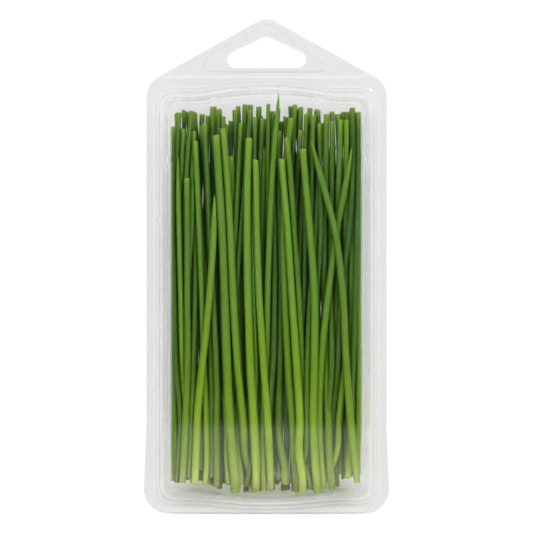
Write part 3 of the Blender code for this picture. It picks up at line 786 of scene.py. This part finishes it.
# x at each lead height, foot and top end, radius, depth under the lid in layers, and what it has
LEAD_HEIGHTS = (-95.0, -55.0, -15.0, 25.0, 65.0)
LEADS = (
    (-39.2, -39.2, -37.9, -36.6, -38.2, -91.0, 65.8, 1.29, 2.4, ""),
    (-36.6, -34.5, -33.9, -34.0, -34.8, -92.8, 37.9, 1.47, 0.3, ""),
    (-36.0, -36.0, -37.0, -39.4, -38.6, -92.0, 46.9, 1.26, 1.0, "tip"),
    (-33.0, -32.6, -33.0, -33.9, -35.6, -92.6, 57.6, 1.49, 1.4, ""),
    (-31.3, -29.6, -24.4, -21.5, -23.0, -93.6, 30.6, 1.63, 0.0, "tip"),
    (-26.6, -25.3, -27.9, -30.9, -31.7, -93.8, 53.8, 1.29, 1.3, ""),
    (-25.7, -25.3, -25.7, -26.0, -27.9, -94.2, 60.6, 1.75, 2.2, ""),
    (-22.9, -23.1, -23.6, -23.6, -23.1, -95.0, 69.2, 1.61, 3.3, ""),
    (-13.9, -16.9, -17.6, -19.3, -22.3, -97.4, 56.4, 1.78, 0.2, ""),
    (-3.9, -12.2, -14.6, -15.9, -19.3, -97.6, 59.4, 1.59, 0.6, ""),
    (-10.3, -11.1, -12.2, -13.9, -16.7, -94.1, 47.4, 1.61, 1.6, ""),
    (-4.3, -5.8, -8.1, -8.6, -6.9, -96.6, 55.1, 1.72, 0.2, "sheath"),
    (2.1, -0.2, -3.6, -4.7, -5.6, -96.2, 45.6, 1.47, 0.5, "sheath"),
    (-2.1, -1.9, -2.1, -1.5, -0.4, -97.2, 50.8, 1.67, 2.0, ""),
    (0.6, 0.4, 0.6, 1.3, 4.2, -96.9, 74.2, 1.44, 1.2, "tip"),
    (6.9, 4.3, 6.6, 5.6, 4.7, -94.0, 58.1, 1.59, 2.2, ""),
    (15.0, 9.9, 7.7, 6.4, 9.9, -97.8, 64.1, 1.59, 1.1, "sheath"),
    (18.0, 14.4, 11.1, 8.5, 6.0, -97.0, 46.1, 1.68, 0.3, ""),
    (16.7, 16.3, 13.9, 11.1, 7.3, -95.6, 55.1, 1.36, 1.3, ""),
    (19.5, 21.1, 21.2, 17.9, 14.4, -97.2, 50.4, 1.68, 0.2, ""),
    (39.6, 34.9, 32.1, 26.3, 16.7, -93.2, 54.2, 1.54, 0.0, "tip and sheath"),
    (18.6, 20.2, 23.2, 27.6, 33.4, -95.8, 52.5, 1.75, 3.0, ""),
    (21.4, 21.8, 27.9, 35.8, 40.0, -95.9, 51.2, 1.43, 1.0, "tip"),
    (23.4, 28.0, 30.0, 31.3, 32.6, -96.2, 63.2, 1.67, 1.9, "sheath"),
    (33.9, 32.1, 31.3, 30.4, 29.6, -92.1, 65.8, 1.49, 4.0, ""),
    (27.0, 32.6, 33.9, 34.3, 35.0, -93.2, 63.2, 1.38, 2.1, ""),
    (36.0, 37.7, 36.4, 36.9, 36.4, -91.1, 61.5, 1.29, 2.4, ""),
    (38.6, 39.1, 39.2, 39.2, 38.6, -92.0, 66.6, 1.29, 2.4, ""),
)


def room_half_width(z):
    """Half width between the tray's gripped walls at height z, rounded into the floor."""
    rounding = np.clip(1.0 - (z - FLOOR_Z) / FLOOR_ROUNDING, 0.0, 1.0)
    return np.minimum(ROOM_HALF_WIDTH + ROOM_LEAN * z, ROOM_LIMIT) - FLOOR_INSET * rounding


def cut_end(rng, x, bowed, spread):
    """Drawn y of a cut end at x.

    It is end + bow (1 - (x / half)^2), which follows the tray's end, plus a gap, plus reach times
    a draw between 0 and 1 to the power ease.
    """
    end, bow, half = bowed
    gap, reach, ease = spread
    line = end + bow * np.clip(1.0 - (x / half) ** 2, 0.0, None)
    return line + gap + reach * rng.uniform() ** ease


def plan_leaves(rng):
    """Rest shapes of all leaves at the stations, before they are pushed apart.

    Leaf 2i and leaf 2i + 1 grow together at the foot of shoot i. The first shoots carry the leads;
    the others start from evenly spread, jittered places. Each leaf is a polynomial through its x at
    the lead heights; the second leaf goes straight up from the foot and drifts a little sideways.
    """
    count = 2 * SHOOTS
    plan = SimpleNamespace(
        x=np.zeros((count, len(STATIONS))), z=np.zeros((count, len(STATIONS))),
        foot=np.zeros(count), top=np.zeros(count),
        radius=rng.uniform(*LEAF_RADIUS, count),
        pointed=np.zeros(count, bool), lead=np.zeros(count, bool),
        sheathed=np.repeat(rng.uniform(size=SHOOTS) < SHEATHED_SHARE, 2),
        sheath=np.repeat(rng.uniform(*SHEATH_LENGTH, SHOOTS), 2),
    )
    spare = SHOOTS - len(LEADS)
    places = (np.arange(spare) + rng.uniform(*JITTER, spare)) / spare
    drift = np.linspace(0.0, 1.0, len(STATIONS)) ** DRIFT_POWER
    for shoot in range(SHOOTS):
        first, second = 2 * shoot, 2 * shoot + 1
        if shoot < len(LEADS):
            *across, foot, top, radius, depth, has = LEADS[shoot]
            plan.lead[first] = True
            plan.radius[first] = radius
            plan.pointed[first] = "tip" in has
            plan.sheathed[[first, second]] = "sheath" in has
            height = CEILING_Z - radius - depth * 2.0 * radius
            deeper = rng.uniform(*MATE_DROP)
            curve = np.polyfit(LEAD_HEIGHTS, across, 4)
        else:
            middle = SPREAD * (2.0 * places[shoot - len(LEADS)] - 1.0)
            across = middle + rng.normal(0.0, LOOSE_BEND)
            foot = cut_end(rng, middle, FOOT_LINE, FOOT_SPREAD)
            top = cut_end(rng, across[-1], TOP_LINE, TOP_SPREAD)
            height = rng.uniform(*LOOSE_Z)
            deeper = rng.uniform(*LOOSE_MATE_DROP)
            curve = np.polyfit(LEAD_HEIGHTS, across, 3)
        beside = rng.choice((-1.0, 1.0)) * plan.radius[second]
        plan.x[first] = np.polyval(curve, STATIONS)
        plan.z[first] = height
        plan.x[second] = plan.x[first, 0] + beside + rng.normal(0.0, MATE_DRIFT) * drift
        plan.z[second] = height - MATE_LOWER - deeper * drift
        second_top = cut_end(rng, plan.x[second, -1], TOP_LINE, TOP_SPREAD)
        second_foot = cut_end(rng, plan.x[second, 0], FOOT_LINE, FOOT_SPREAD)
        plan.top[[first, second]] = top, second_top
        plan.foot[[first, second]] = foot, foot if plan.sheathed[first] else second_foot
    return plan


def leaf_radius(plan, y):
    """Outer radius of leaves at heights y: a sheath at the foot, a slow taper, a drawn-out tip."""
    length = (plan.top - plan.foot)[:, None]
    along = np.clip((y[None, :] - plan.foot[:, None]) / length, 0.0, 1.0)
    blade = plan.radius[:, None] * (FOOT_WIDER + (TOP_SLIMMER - FOOT_WIDER) * along)
    to_tip = np.clip((plan.top[:, None] - y[None, :]) / TIP_LENGTH, 0.0, 1.0)
    drawn_out = TIP_BLUNT + (1.0 - TIP_BLUNT) * np.sqrt(to_tip)
    blade = np.where(plan.pointed[:, None], blade * drawn_out, blade)
    mouth = np.where(plan.sheathed, plan.foot + plan.sheath, -np.inf)
    in_sheath = y[None, :] < mouth[:, None] + MOUTH_ROOM
    return np.where(in_sheath, np.maximum(blade, SHEATH_RADIUS), blade)


def pushes(x, z, need, shares=1.0):
    """Moves along x and z that part the leaves, and the largest overlap.

    Two leaves closer than need are moved apart by half of what is missing each, along the line
    between their centres. Shares is how much of a move at this height its stations take up.
    """
    dx = x[:, None] - x[None, :]
    dz = z[:, None] - z[None, :]
    gap = np.sqrt(dx * dx + dz * dz) + 1e-6
    short = np.clip(need - gap, 0.0, None)
    push = 0.5 * short / gap / shares
    return (push * dx).sum(axis=1), (push * dz).sum(axis=1), float(short.max())


def lay_leaves(plan):
    """Pushes the leaves apart until each pair keeps its clearance at every height.

    Each round visits heights within every span between stations, and a push at a height is shared
    by the span's two stations. The round then eases the bends, draws the leads home and keeps all
    within tray and lid. Easing and drawing fade out, so the last rounds only clear overlaps.
    """
    x, z = plan.x, plan.z
    home_x, home_z = x.copy(), z.copy()
    count = len(x)
    mate = np.arange(count) ^ 1
    slices = []
    for span in range(len(STATIONS) - 1):
        for part in (np.arange(SPAN_CHECKS) + 0.5) / SPAN_CHECKS:
            y = STATIONS[span] * (1.0 - part) + STATIONS[span + 1] * part
            radius = leaf_radius(plan, np.array([y]))[:, 0]
            alive = (y >= plan.foot - PAST_FOOT) & (y <= plan.top + PAST_TOP)
            need = (radius[:, None] + radius[None, :] + CLEAR) * np.outer(alive, alive)
            need[np.arange(count), np.arange(count)] = 0.0
            need[np.arange(count), mate] *= y > STATIONS[2]
            slices.append((span, part, need))
    station_radius = leaf_radius(plan, STATIONS)
    lead = plan.lead
    for turn in range(ROUNDS):
        cooling = max(0.0, 1.0 - COOLING * turn / ROUNDS)
        easing = turn < EASED_SHARE * ROUNDS
        worst = 0.0
        for span, part, need in slices:
            px = x[:, span] * (1.0 - part) + x[:, span + 1] * part
            pz = z[:, span] * (1.0 - part) + z[:, span + 1] * part
            *moves, overlap = pushes(px, pz, need, part**2 + (1.0 - part) ** 2)
            worst = max(worst, overlap)
            for value, move in zip((x, z), moves):
                value[:, span] += (1.0 - part) * move
                value[:, span + 1] += part * move
        if easing:
            bend, pull = BENDS[0] + BENDS[1] * cooling, PULLS[0] + PULLS[1] * cooling
            for value, home in ((x, home_x), (z, home_z)):
                value[:, 1:-1] += bend * (0.5 * (value[:, :-2] + value[:, 2:]) - value[:, 1:-1])
                value[lead] += pull * (home[lead] - value[lead])
        join_feet(plan)
        ceiling = CEILING_Z - station_radius - LEAD_ROOM * ~lead[:, None]
        np.clip(z, FLOOR_Z + station_radius, ceiling, out=z)
        limit = room_half_width(z) - station_radius
        np.clip(x, -limit, limit, out=x)
        if not easing and worst < OVERLAP_LEFT:
            break


def join_feet(plan):
    """Holds a shoot's two leaves together at the two lowest stations.

    In a sheath they lie nearly in line, and otherwise side by side, a little sunk into each other.
    Both move by half of what is missing, but beside a lead only the other leaf moves.
    """
    x, z, lead = plan.x, plan.z, plan.lead
    touching = SIDE_BY_SIDE * FOOT_WIDER * (plan.radius[0::2] + plan.radius[1::2])
    apart = np.where(plan.sheathed[0::2], SHEATH_OFFSET, touching)
    first_share = np.where(lead[0::2], 0.0, 0.5)
    for station in (0, 1):
        dx = x[1::2, station] - x[0::2, station]
        dz = z[1::2, station] - z[0::2, station]
        length = np.hypot(dx, dz) + 1e-6
        extra = (length - apart) / length
        for value, gap in ((x, dx), (z, dz)):
            value[0::2, station] += first_share * extra * gap
            value[1::2, station] -= (1.0 - first_share) * extra * gap


def on_course(values, knots, y):
    """Smooth curve through evenly spaced knots: a cubic with the slope of the chord across each."""
    step = knots[1] - knots[0]
    slope = np.gradient(values, step, axis=-1)
    place = np.clip((y - knots[0]) / step, 0.0, len(knots) - 1.0001)
    left = place.astype(int)
    t = place - left
    before, after = values[..., left], values[..., left + 1]
    m0, m1 = slope[..., left] * step, slope[..., left + 1] * step
    return (
        (2 * t**3 - 3 * t**2 + 1) * before + (t**3 - 2 * t**2 + t) * m0
        + (3 * t**2 - 2 * t**3) * after + (t**3 - t**2) * m1
    )


FINE_STATIONS = np.linspace(-98.0, 72.0, 35)
FINE_ROUNDS = 260
TOUCH_GAP = 0.06
MATES_PART = -52.0
FINE_PAST = 3.0
FINE_SHARE = 0.9


def settle(plan):
    """Lays the leaves again at close stations, as smooth curves that only just touch.

    A push at a station is spread over the neighbouring stations before it is made, so that a leaf
    bends and never kinks.
    """
    x = on_course(plan.x, STATIONS, FINE_STATIONS)
    z = on_course(plan.z, STATIONS, FINE_STATIONS)
    count = len(x)
    mate = np.arange(count) ^ 1
    radius = leaf_radius(plan, FINE_STATIONS)
    alive = FINE_STATIONS >= plan.foot[:, None] - FINE_PAST
    alive &= FINE_STATIONS <= plan.top[:, None] + FINE_PAST
    need = radius[:, None] + radius[None, :] + TOUCH_GAP
    need *= alive[:, None] & alive[None, :]
    need[np.arange(count), np.arange(count)] = 0.0
    need[np.arange(count), mate] *= (FINE_STATIONS > MATES_PART) | ~plan.sheathed[:, None]
    for _ in range(FINE_ROUNDS):
        for value, move in zip((x, z), pushes(x, z, need)):
            for _ in range(2):
                padded = np.pad(move, ((0, 0), (1, 1)), mode="edge")
                move = 0.25 * padded[:, :-2] + 0.5 * padded[:, 1:-1] + 0.25 * padded[:, 2:]
            value += FINE_SHARE * move
        np.clip(z, FLOOR_Z + radius, CEILING_Z - radius, out=z)
        limit = room_half_width(z) - radius
        np.clip(x, -limit, limit, out=x)
    return x, z


draws = np.random.default_rng(SEED)
plan = plan_leaves(draws)
lay_leaves(plan)
leaf_x, leaf_z = settle(plan)


# A chive leaf is a hollow, faintly ribbed tube, cut square at the top or drawn out to its own tip.
# Two grow from one shoot: their foot is wrapped in a thin pale sheath with a slanting mouth.
SIDES = 28
RING_STEP = 2.4
FOOT_START = 1.2
RIBS = 0.016
SHEATH_RIBS = 0.012
FLATNESS = (0.86, 1.0)
WAVER = 0.012
WAVE_RUN = (7, 13)
TWIST = 0.5
TIP_POWER = 0.55
SLIM_IN_SHEATH = 0.80
SLIM_FOOT = 0.93
FOOT_RAGGED = (0.22, 0.06)
TOP_RAGGED = (0.42, 0.035)
SHEATH_RAGGED = (0.25, 0.07)
MOUTH_RAGGED = (1.8, 0.05)
MOUTH_RUN = 6.0
SHEATH_GROWTH = (0.84, 0.20)
SHEATH_WALL = 0.06
SHEATH_SLACK = 0.25
SHEATH_LIP = ((0.985, 0.04), (0.94, 0.04), (0.90, -1.2))
CUT_STEPS = np.array([3.0, 2.2, 1.5, 0.9, 0.4, 0.0])
POINT_REACH = 14.0
SLANTED_DEPTH = 4.0
FULL_LENGTH = 170.0
FAR = 100.0
# Painted light: the last few millimetres below a leaf's top are paler, as if lit through the thin
# end.
END_PAINTED_GLOW = 0.75
END_REACH = 3.2
# Tone of a shoot: a random draw within a range, with painted light and shade on top of it. Leaves
# that lie on top take the lighter range and those beneath the darker one, and leaves deep in the
# bunch are painted darker still, less so near their ends.
LEAD_TONE_LIT = (0.52, 1.0)
LOOSE_TONE_SHADED = (0.04, 0.52)
BURIED_Z = (6.0, 13.0)
BURIED_REACH = 14.0
BURIED_PAINTED_SHADE = 0.8


def tube_frame(path):
    """Side and lift directions square to a path that runs mainly along y."""
    run = np.gradient(path, axis=0)
    run /= np.linalg.norm(run, axis=1, keepdims=True)
    side = np.cross(run, (0.0, 0.0, 1.0))
    side /= np.linalg.norm(side, axis=1, keepdims=True)
    return run, side, np.cross(side, run)


def tube_rows(path, across, lift, roll, ribs, angle):
    """Rings round a path: an ellipse of semi-axes across and lift, turned by roll, with ribs.

    Radius in direction a is (across^2 cos^2 + lift^2 sin^2)^0.5 of (a - roll), times one plus a
    ripple of ribs waves.
    """
    run, side, up = tube_frame(path)
    ripple = 1.0 + ribs * np.cos(SIDES / 2 * angle)[None, :]
    p = across[:, None] * np.cos(angle)[None, :] * ripple
    q = lift[:, None] * np.sin(angle)[None, :] * ripple
    c, s = np.cos(roll)[:, None], np.sin(roll)[:, None]
    u, v = c * p - s * q, s * p + c * q
    return path[:, None] + u[..., None] * side[:, None] + v[..., None] * up[:, None]


# The cut foot from its middle to its edge: share of the radius, and how far in it lies. The cut top
# from its edge down inside: share of the radius, depth, and paleness.
FOOT_CUT = (
    (0.05, 0.12), (0.30, 0.10), (0.38, 0.32), (0.46, 0.02), (0.70, -0.04), (0.76, 0.34),
    (0.82, 0.04), (0.95, -0.05),
)
TOP_CUT = (
    (0.96, -0.03, 0.6), (0.88, -0.04, 1.0), (0.74, 0.0, 1.0), (0.72, 0.25, 0.8),
    (0.71, 2.0, 0.8), (0.68, 5.0, 0.8), (0.60, 9.0, 0.8),
)


def uneven_cut(angle, rng, tilt, frayed):
    """Height of a cut round its edge: a slant, cos(a - a0), and fraying of two frequencies."""
    slant = rng.uniform(0.0, tilt) * np.cos(angle - rng.uniform(0, 2 * math.pi))
    fray = np.sin(5 * angle + rng.uniform(0, 6)) + 0.6 * np.sin(11 * angle + rng.uniform(0, 6))
    return slant + frayed * fray


def foot_face(rows, course, run, shift):
    """Rings from the middle of a cut foot out to its edge: the leaf bases inside show as rings."""
    rows[0] += shift[:, None] * run[0]
    rows[1] += 0.8 * shift[:, None] * run[0]
    return [course[0] + share * (rows[0] - course[0]) + depth * run[0] for share, depth in FOOT_CUT]


def leaf_course(leaf, y):
    """Places of a leaf's middle line at heights y."""
    x = on_course(leaf_x[leaf], FINE_STATIONS, y)
    z = on_course(leaf_z[leaf], FINE_STATIONS, y)
    return np.stack([x, y, z], axis=-1)


def joined(parts):
    """All rows of some parts, and the rows' three marks; a mark may be one number for its part."""
    rows = np.concatenate([part[0] for part in parts])
    marks = [
        np.concatenate([np.broadcast_to(part[mark], len(part[0])) for part in parts])
        for mark in (1, 2, 3)
    ]
    return rows, *marks


def leaf_shell(leaf, rng):
    """Vertex rows of one leaf, with its length from the foot, how cut and how far from the top.

    Rings run up the outside; at a cut end they turn over the rim and go down the inside wall to a
    floor, and at a tip they draw in to a point. A leaf with no sheath starts with its cut foot.
    """
    pointed, sheathed = plan.pointed[leaf], plan.sheathed[leaf]
    foot, top = plan.foot[leaf] + FOOT_START * sheathed, plan.top[leaf]
    top_steps = POINT_REACH * np.linspace(1.0, 0.0, 24) ** 1.5 if pointed else CUT_STEPS
    count = int((top - foot) / RING_STEP)
    y = np.concatenate([
        foot + np.array([0.0, 0.3, 0.9]), np.linspace(foot + 2.0, top - top_steps[0] - 1.5, count),
        top - top_steps,
    ])
    course = leaf_course(leaf, y)
    along = np.clip((y - foot) / (top - foot), 0.0, 1.0)
    slim = SLIM_IN_SHEATH if sheathed else SLIM_FOOT
    radius = plan.radius[leaf] * (FOOT_WIDER + (TOP_SLIMMER - FOOT_WIDER) * along)
    radius *= slim + (1.0 - slim) * smooth_step(y, foot, foot + plan.sheath[leaf])
    if pointed:
        share = np.clip((top - y) / TIP_LENGTH, 0.0, 1.0)
        radius = np.maximum(radius * share**TIP_POWER, 0.05)
    radius *= 1.0 + WAVER * np.sin(y / rng.uniform(*WAVE_RUN) + rng.uniform(0, 6))
    flat = rng.uniform(*FLATNESS)
    roll = rng.uniform(0, math.pi) + rng.normal(0, TWIST) * along
    angle = np.linspace(0.0, 2 * math.pi, SIDES, endpoint=False)
    rows = tube_rows(course, radius, radius * flat, roll, RIBS, angle)
    run = tube_frame(course)[0]
    parts = [(rows, y - foot, 0.0, top - y)]
    if not sheathed:
        face = foot_face(rows, course, run, uneven_cut(angle, rng, *FOOT_RAGGED))
        parts.insert(0, (face, 0.0, 1.0, top - foot))
    if not pointed:
        shift = uneven_cut(angle, rng, *TOP_RAGGED)[:, None] * run[-1]
        for row, share in ((-1, 1.0), (-2, 0.7), (-3, 0.35)):
            rows[row] += share * shift
        edge = rows[-1] - shift - course[-1]
        rim = []
        for share, depth, _ in TOP_CUT:
            middle = leaf_course(leaf, np.array([top - max(depth, 0.0)]))[0]
            slant = shift * (depth < SLANTED_DEPTH)
            rim.append(middle + share * edge + slant - min(depth, 0.0) * run[-1])
        parts.append((rim, top - foot, [paleness for _, _, paleness in TOP_CUT], 0.0))
    return joined(parts)


def sheath_shell(shoot, rng):
    """Vertex rows of one sheath: the cut foot from its middle out, then up to the slanting mouth.

    Its cross-section is an ellipse round both leaves, longer along the line between them.
    """
    pair = [2 * shoot, 2 * shoot + 1]
    foot = plan.foot[pair[0]]
    mouth = foot + plan.sheath[pair[0]]
    y = np.concatenate([foot + np.array([0.0, 0.25, 0.8]), np.linspace(foot + 2.0, mouth, 14)])
    one, other = leaf_course(pair[0], y), leaf_course(pair[1], y)
    course = 0.5 * (one + other)
    gap = other - one
    direction = np.unwrap(np.arctan2(gap[:, 2], gap[:, 0]))
    grow = SHEATH_GROWTH[0] + SHEATH_GROWTH[1] * smooth_step(y, foot, mouth)
    lift = plan.radius[pair].max() * grow + SHEATH_WALL
    widest = SHEATH_RADIUS + SHEATH_SLACK
    across = np.minimum(lift + 0.5 * np.hypot(gap[:, 0], gap[:, 2]), widest)
    angle = np.linspace(0.0, 2 * math.pi, SIDES, endpoint=False)
    rows = tube_rows(course, across, lift, direction, SHEATH_RIBS, angle)
    run = tube_frame(course)[0]
    slant = uneven_cut(angle, rng, *MOUTH_RAGGED)
    rows += (smooth_step(y, mouth - MOUTH_RUN, mouth)[:, None] * slant)[..., None] * run[:, None]
    face = foot_face(rows, course, run, uneven_cut(angle, rng, *SHEATH_RAGGED))
    edge = rows[-1] - course[-1]
    lip = [course[-1] + share * edge + rise * run[-1] for share, rise in SHEATH_LIP]
    cut = np.zeros(len(y))
    cut[-1] = 0.4
    return joined([
        (face, 0.0, 1.0, FAR), (rows, y - foot, cut, FAR), (lip, mouth - foot, 0.6, FAR),
    ])


def shell_faces(rows, first):
    """Quads of a stack of closed rings, and the two end caps as fans of one face each."""
    faces = grid_faces(rows, SIDES, first)
    ring = np.arange(SIDES)
    return list(faces) + [first + ring[::-1], first + (rows - 1) * SIDES + ring]


def streaks(tree, scale, detail):
    """Socket of a noise drawn out along the leaf; scale is how fine it is along each axis."""
    place = add_node(tree, "TexCoord")
    stretch = add_node(tree, "Mapping", {"Vector": place.outputs["Object"], "Scale": scale})
    noise = add_node(
        tree, "TexNoise", {"Vector": stretch.outputs["Vector"], "Scale": 1.0, "Detail": detail}
    )
    return noise.outputs["Fac"]


def chive_green():
    """Waxy green with pale feet, ribs, a faint bluish bloom and lighter cut ends, with painted
    shade on lower leaves and painted light below each top.
    """
    material, tree, skin = new_material("chive_green", {
        "Subsurface Weight": 0.06, "Subsurface Radius": (0.7, 1.0, 0.25),
        "Subsurface Scale": 0.0012, "Specular IOR Level": 0.34,
    })
    marks = add_node(tree, "Attribute", attribute_name="marks")
    parts = add_node(tree, "SeparateColor", {"Color": marks.outputs["Color"]})
    growth = colour_ramp(tree, parts.outputs["Red"], (
        (0.00, (0.42, 0.48, 0.15)), (0.04, (0.27, 0.38, 0.055)), (0.12, (0.165, 0.295, 0.008)),
        (0.28, (0.108, 0.228, 0.005)), (0.55, (0.085, 0.195, 0.014)), (1.00, (0.090, 0.210, 0.012)),
    ))
    # The green mark sets how light and how blue-green a leaf is: random tone with painted shade.
    tone_and_shade = add_node(tree, "HueSaturation", {
        "Color": growth,
        "Value": ranged(tree, parts.outputs["Green"], (0.0, 1.0), (0.42, 1.80)),
        "Hue": ranged(tree, parts.outputs["Green"], (0.0, 1.0), (0.515, 0.487)),
    })
    patches = streaks(tree, (700.0, 45.0, 700.0), 3.0)
    bloom_share = ranged(tree, patches, (0.42, 0.75), (0.0, 0.06))
    bloom = mixed(tree, bloom_share, tone_and_shade.outputs["Color"], (0.42, 0.55, 0.44, 1.0))
    bump = add_node(tree, "Bump", {
        "Strength": 0.15, "Distance": 0.00006,
        "Height": streaks(tree, (2600.0, 120.0, 2600.0), 2.0),
    })
    feed(tree, skin, {
        "Base Color": mixed(tree, parts.outputs["Blue"], bloom, (0.31, 0.47, 0.05, 1.0)),
        "Roughness": ranged(tree, patches, (0.0, 1.0), (0.28, 0.42)),
        "Normal": bump.outputs["Normal"],
    })
    return material


leaf_material = chive_green()
for shoot in range(SHOOTS):
    rng = np.random.default_rng([SEED, shoot])
    shells = [leaf_shell(2 * shoot, rng), leaf_shell(2 * shoot + 1, rng)]
    if plan.sheathed[2 * shoot]:
        shells.append(sheath_shell(shoot, rng))
    points, faces, marks = [], [], []
    for place, (rows, length, cut, to_top) in enumerate(shells):
        faces += shell_faces(len(rows), sum(len(part) for part in points))
        points.append(rows.reshape(-1, 3))
        # Blue mark: the larger of the cut's own paleness and a painted light that fades down from
        # the leaf's top.
        paleness = np.maximum(cut, END_PAINTED_GLOW * np.exp(-to_top / END_REACH))
        # Painted shade: leaves beneath the top layer are darker, and deep ones darker still away
        # from their ends; the draw within a range is random tone.
        on_top = plan.lead[2 * shoot] and place != 1
        buried_shade = 1.0 - smooth_step(rows[..., 2].mean(axis=1), *BURIED_Z)
        buried_shade *= (1.0 - np.exp(-to_top / BURIED_REACH)) * (1.0 - np.exp(-length / BURIED_REACH))
        tone_and_shade = rng.uniform(*(LEAD_TONE_LIT if on_top else LOOSE_TONE_SHADED)) * (1.0 - BURIED_PAINTED_SHADE * buried_shade)
        colour = np.stack([length / FULL_LENGTH, tone_and_shade, paleness, np.ones_like(length)], axis=-1)
        marks.append(np.repeat(colour, SIDES, axis=0))
    chive = add_piece(f"chive_{shoot + 1:02d}", np.vstack(points), faces, leaf_material)
    layer = chive.data.attributes.new("marks", "FLOAT_COLOR", "POINT")
    layer.data.foreach_set("color", np.vstack(marks).ravel())
    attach(chive, "base")
    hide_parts(f"shoot_{shoot + 1:02d}")
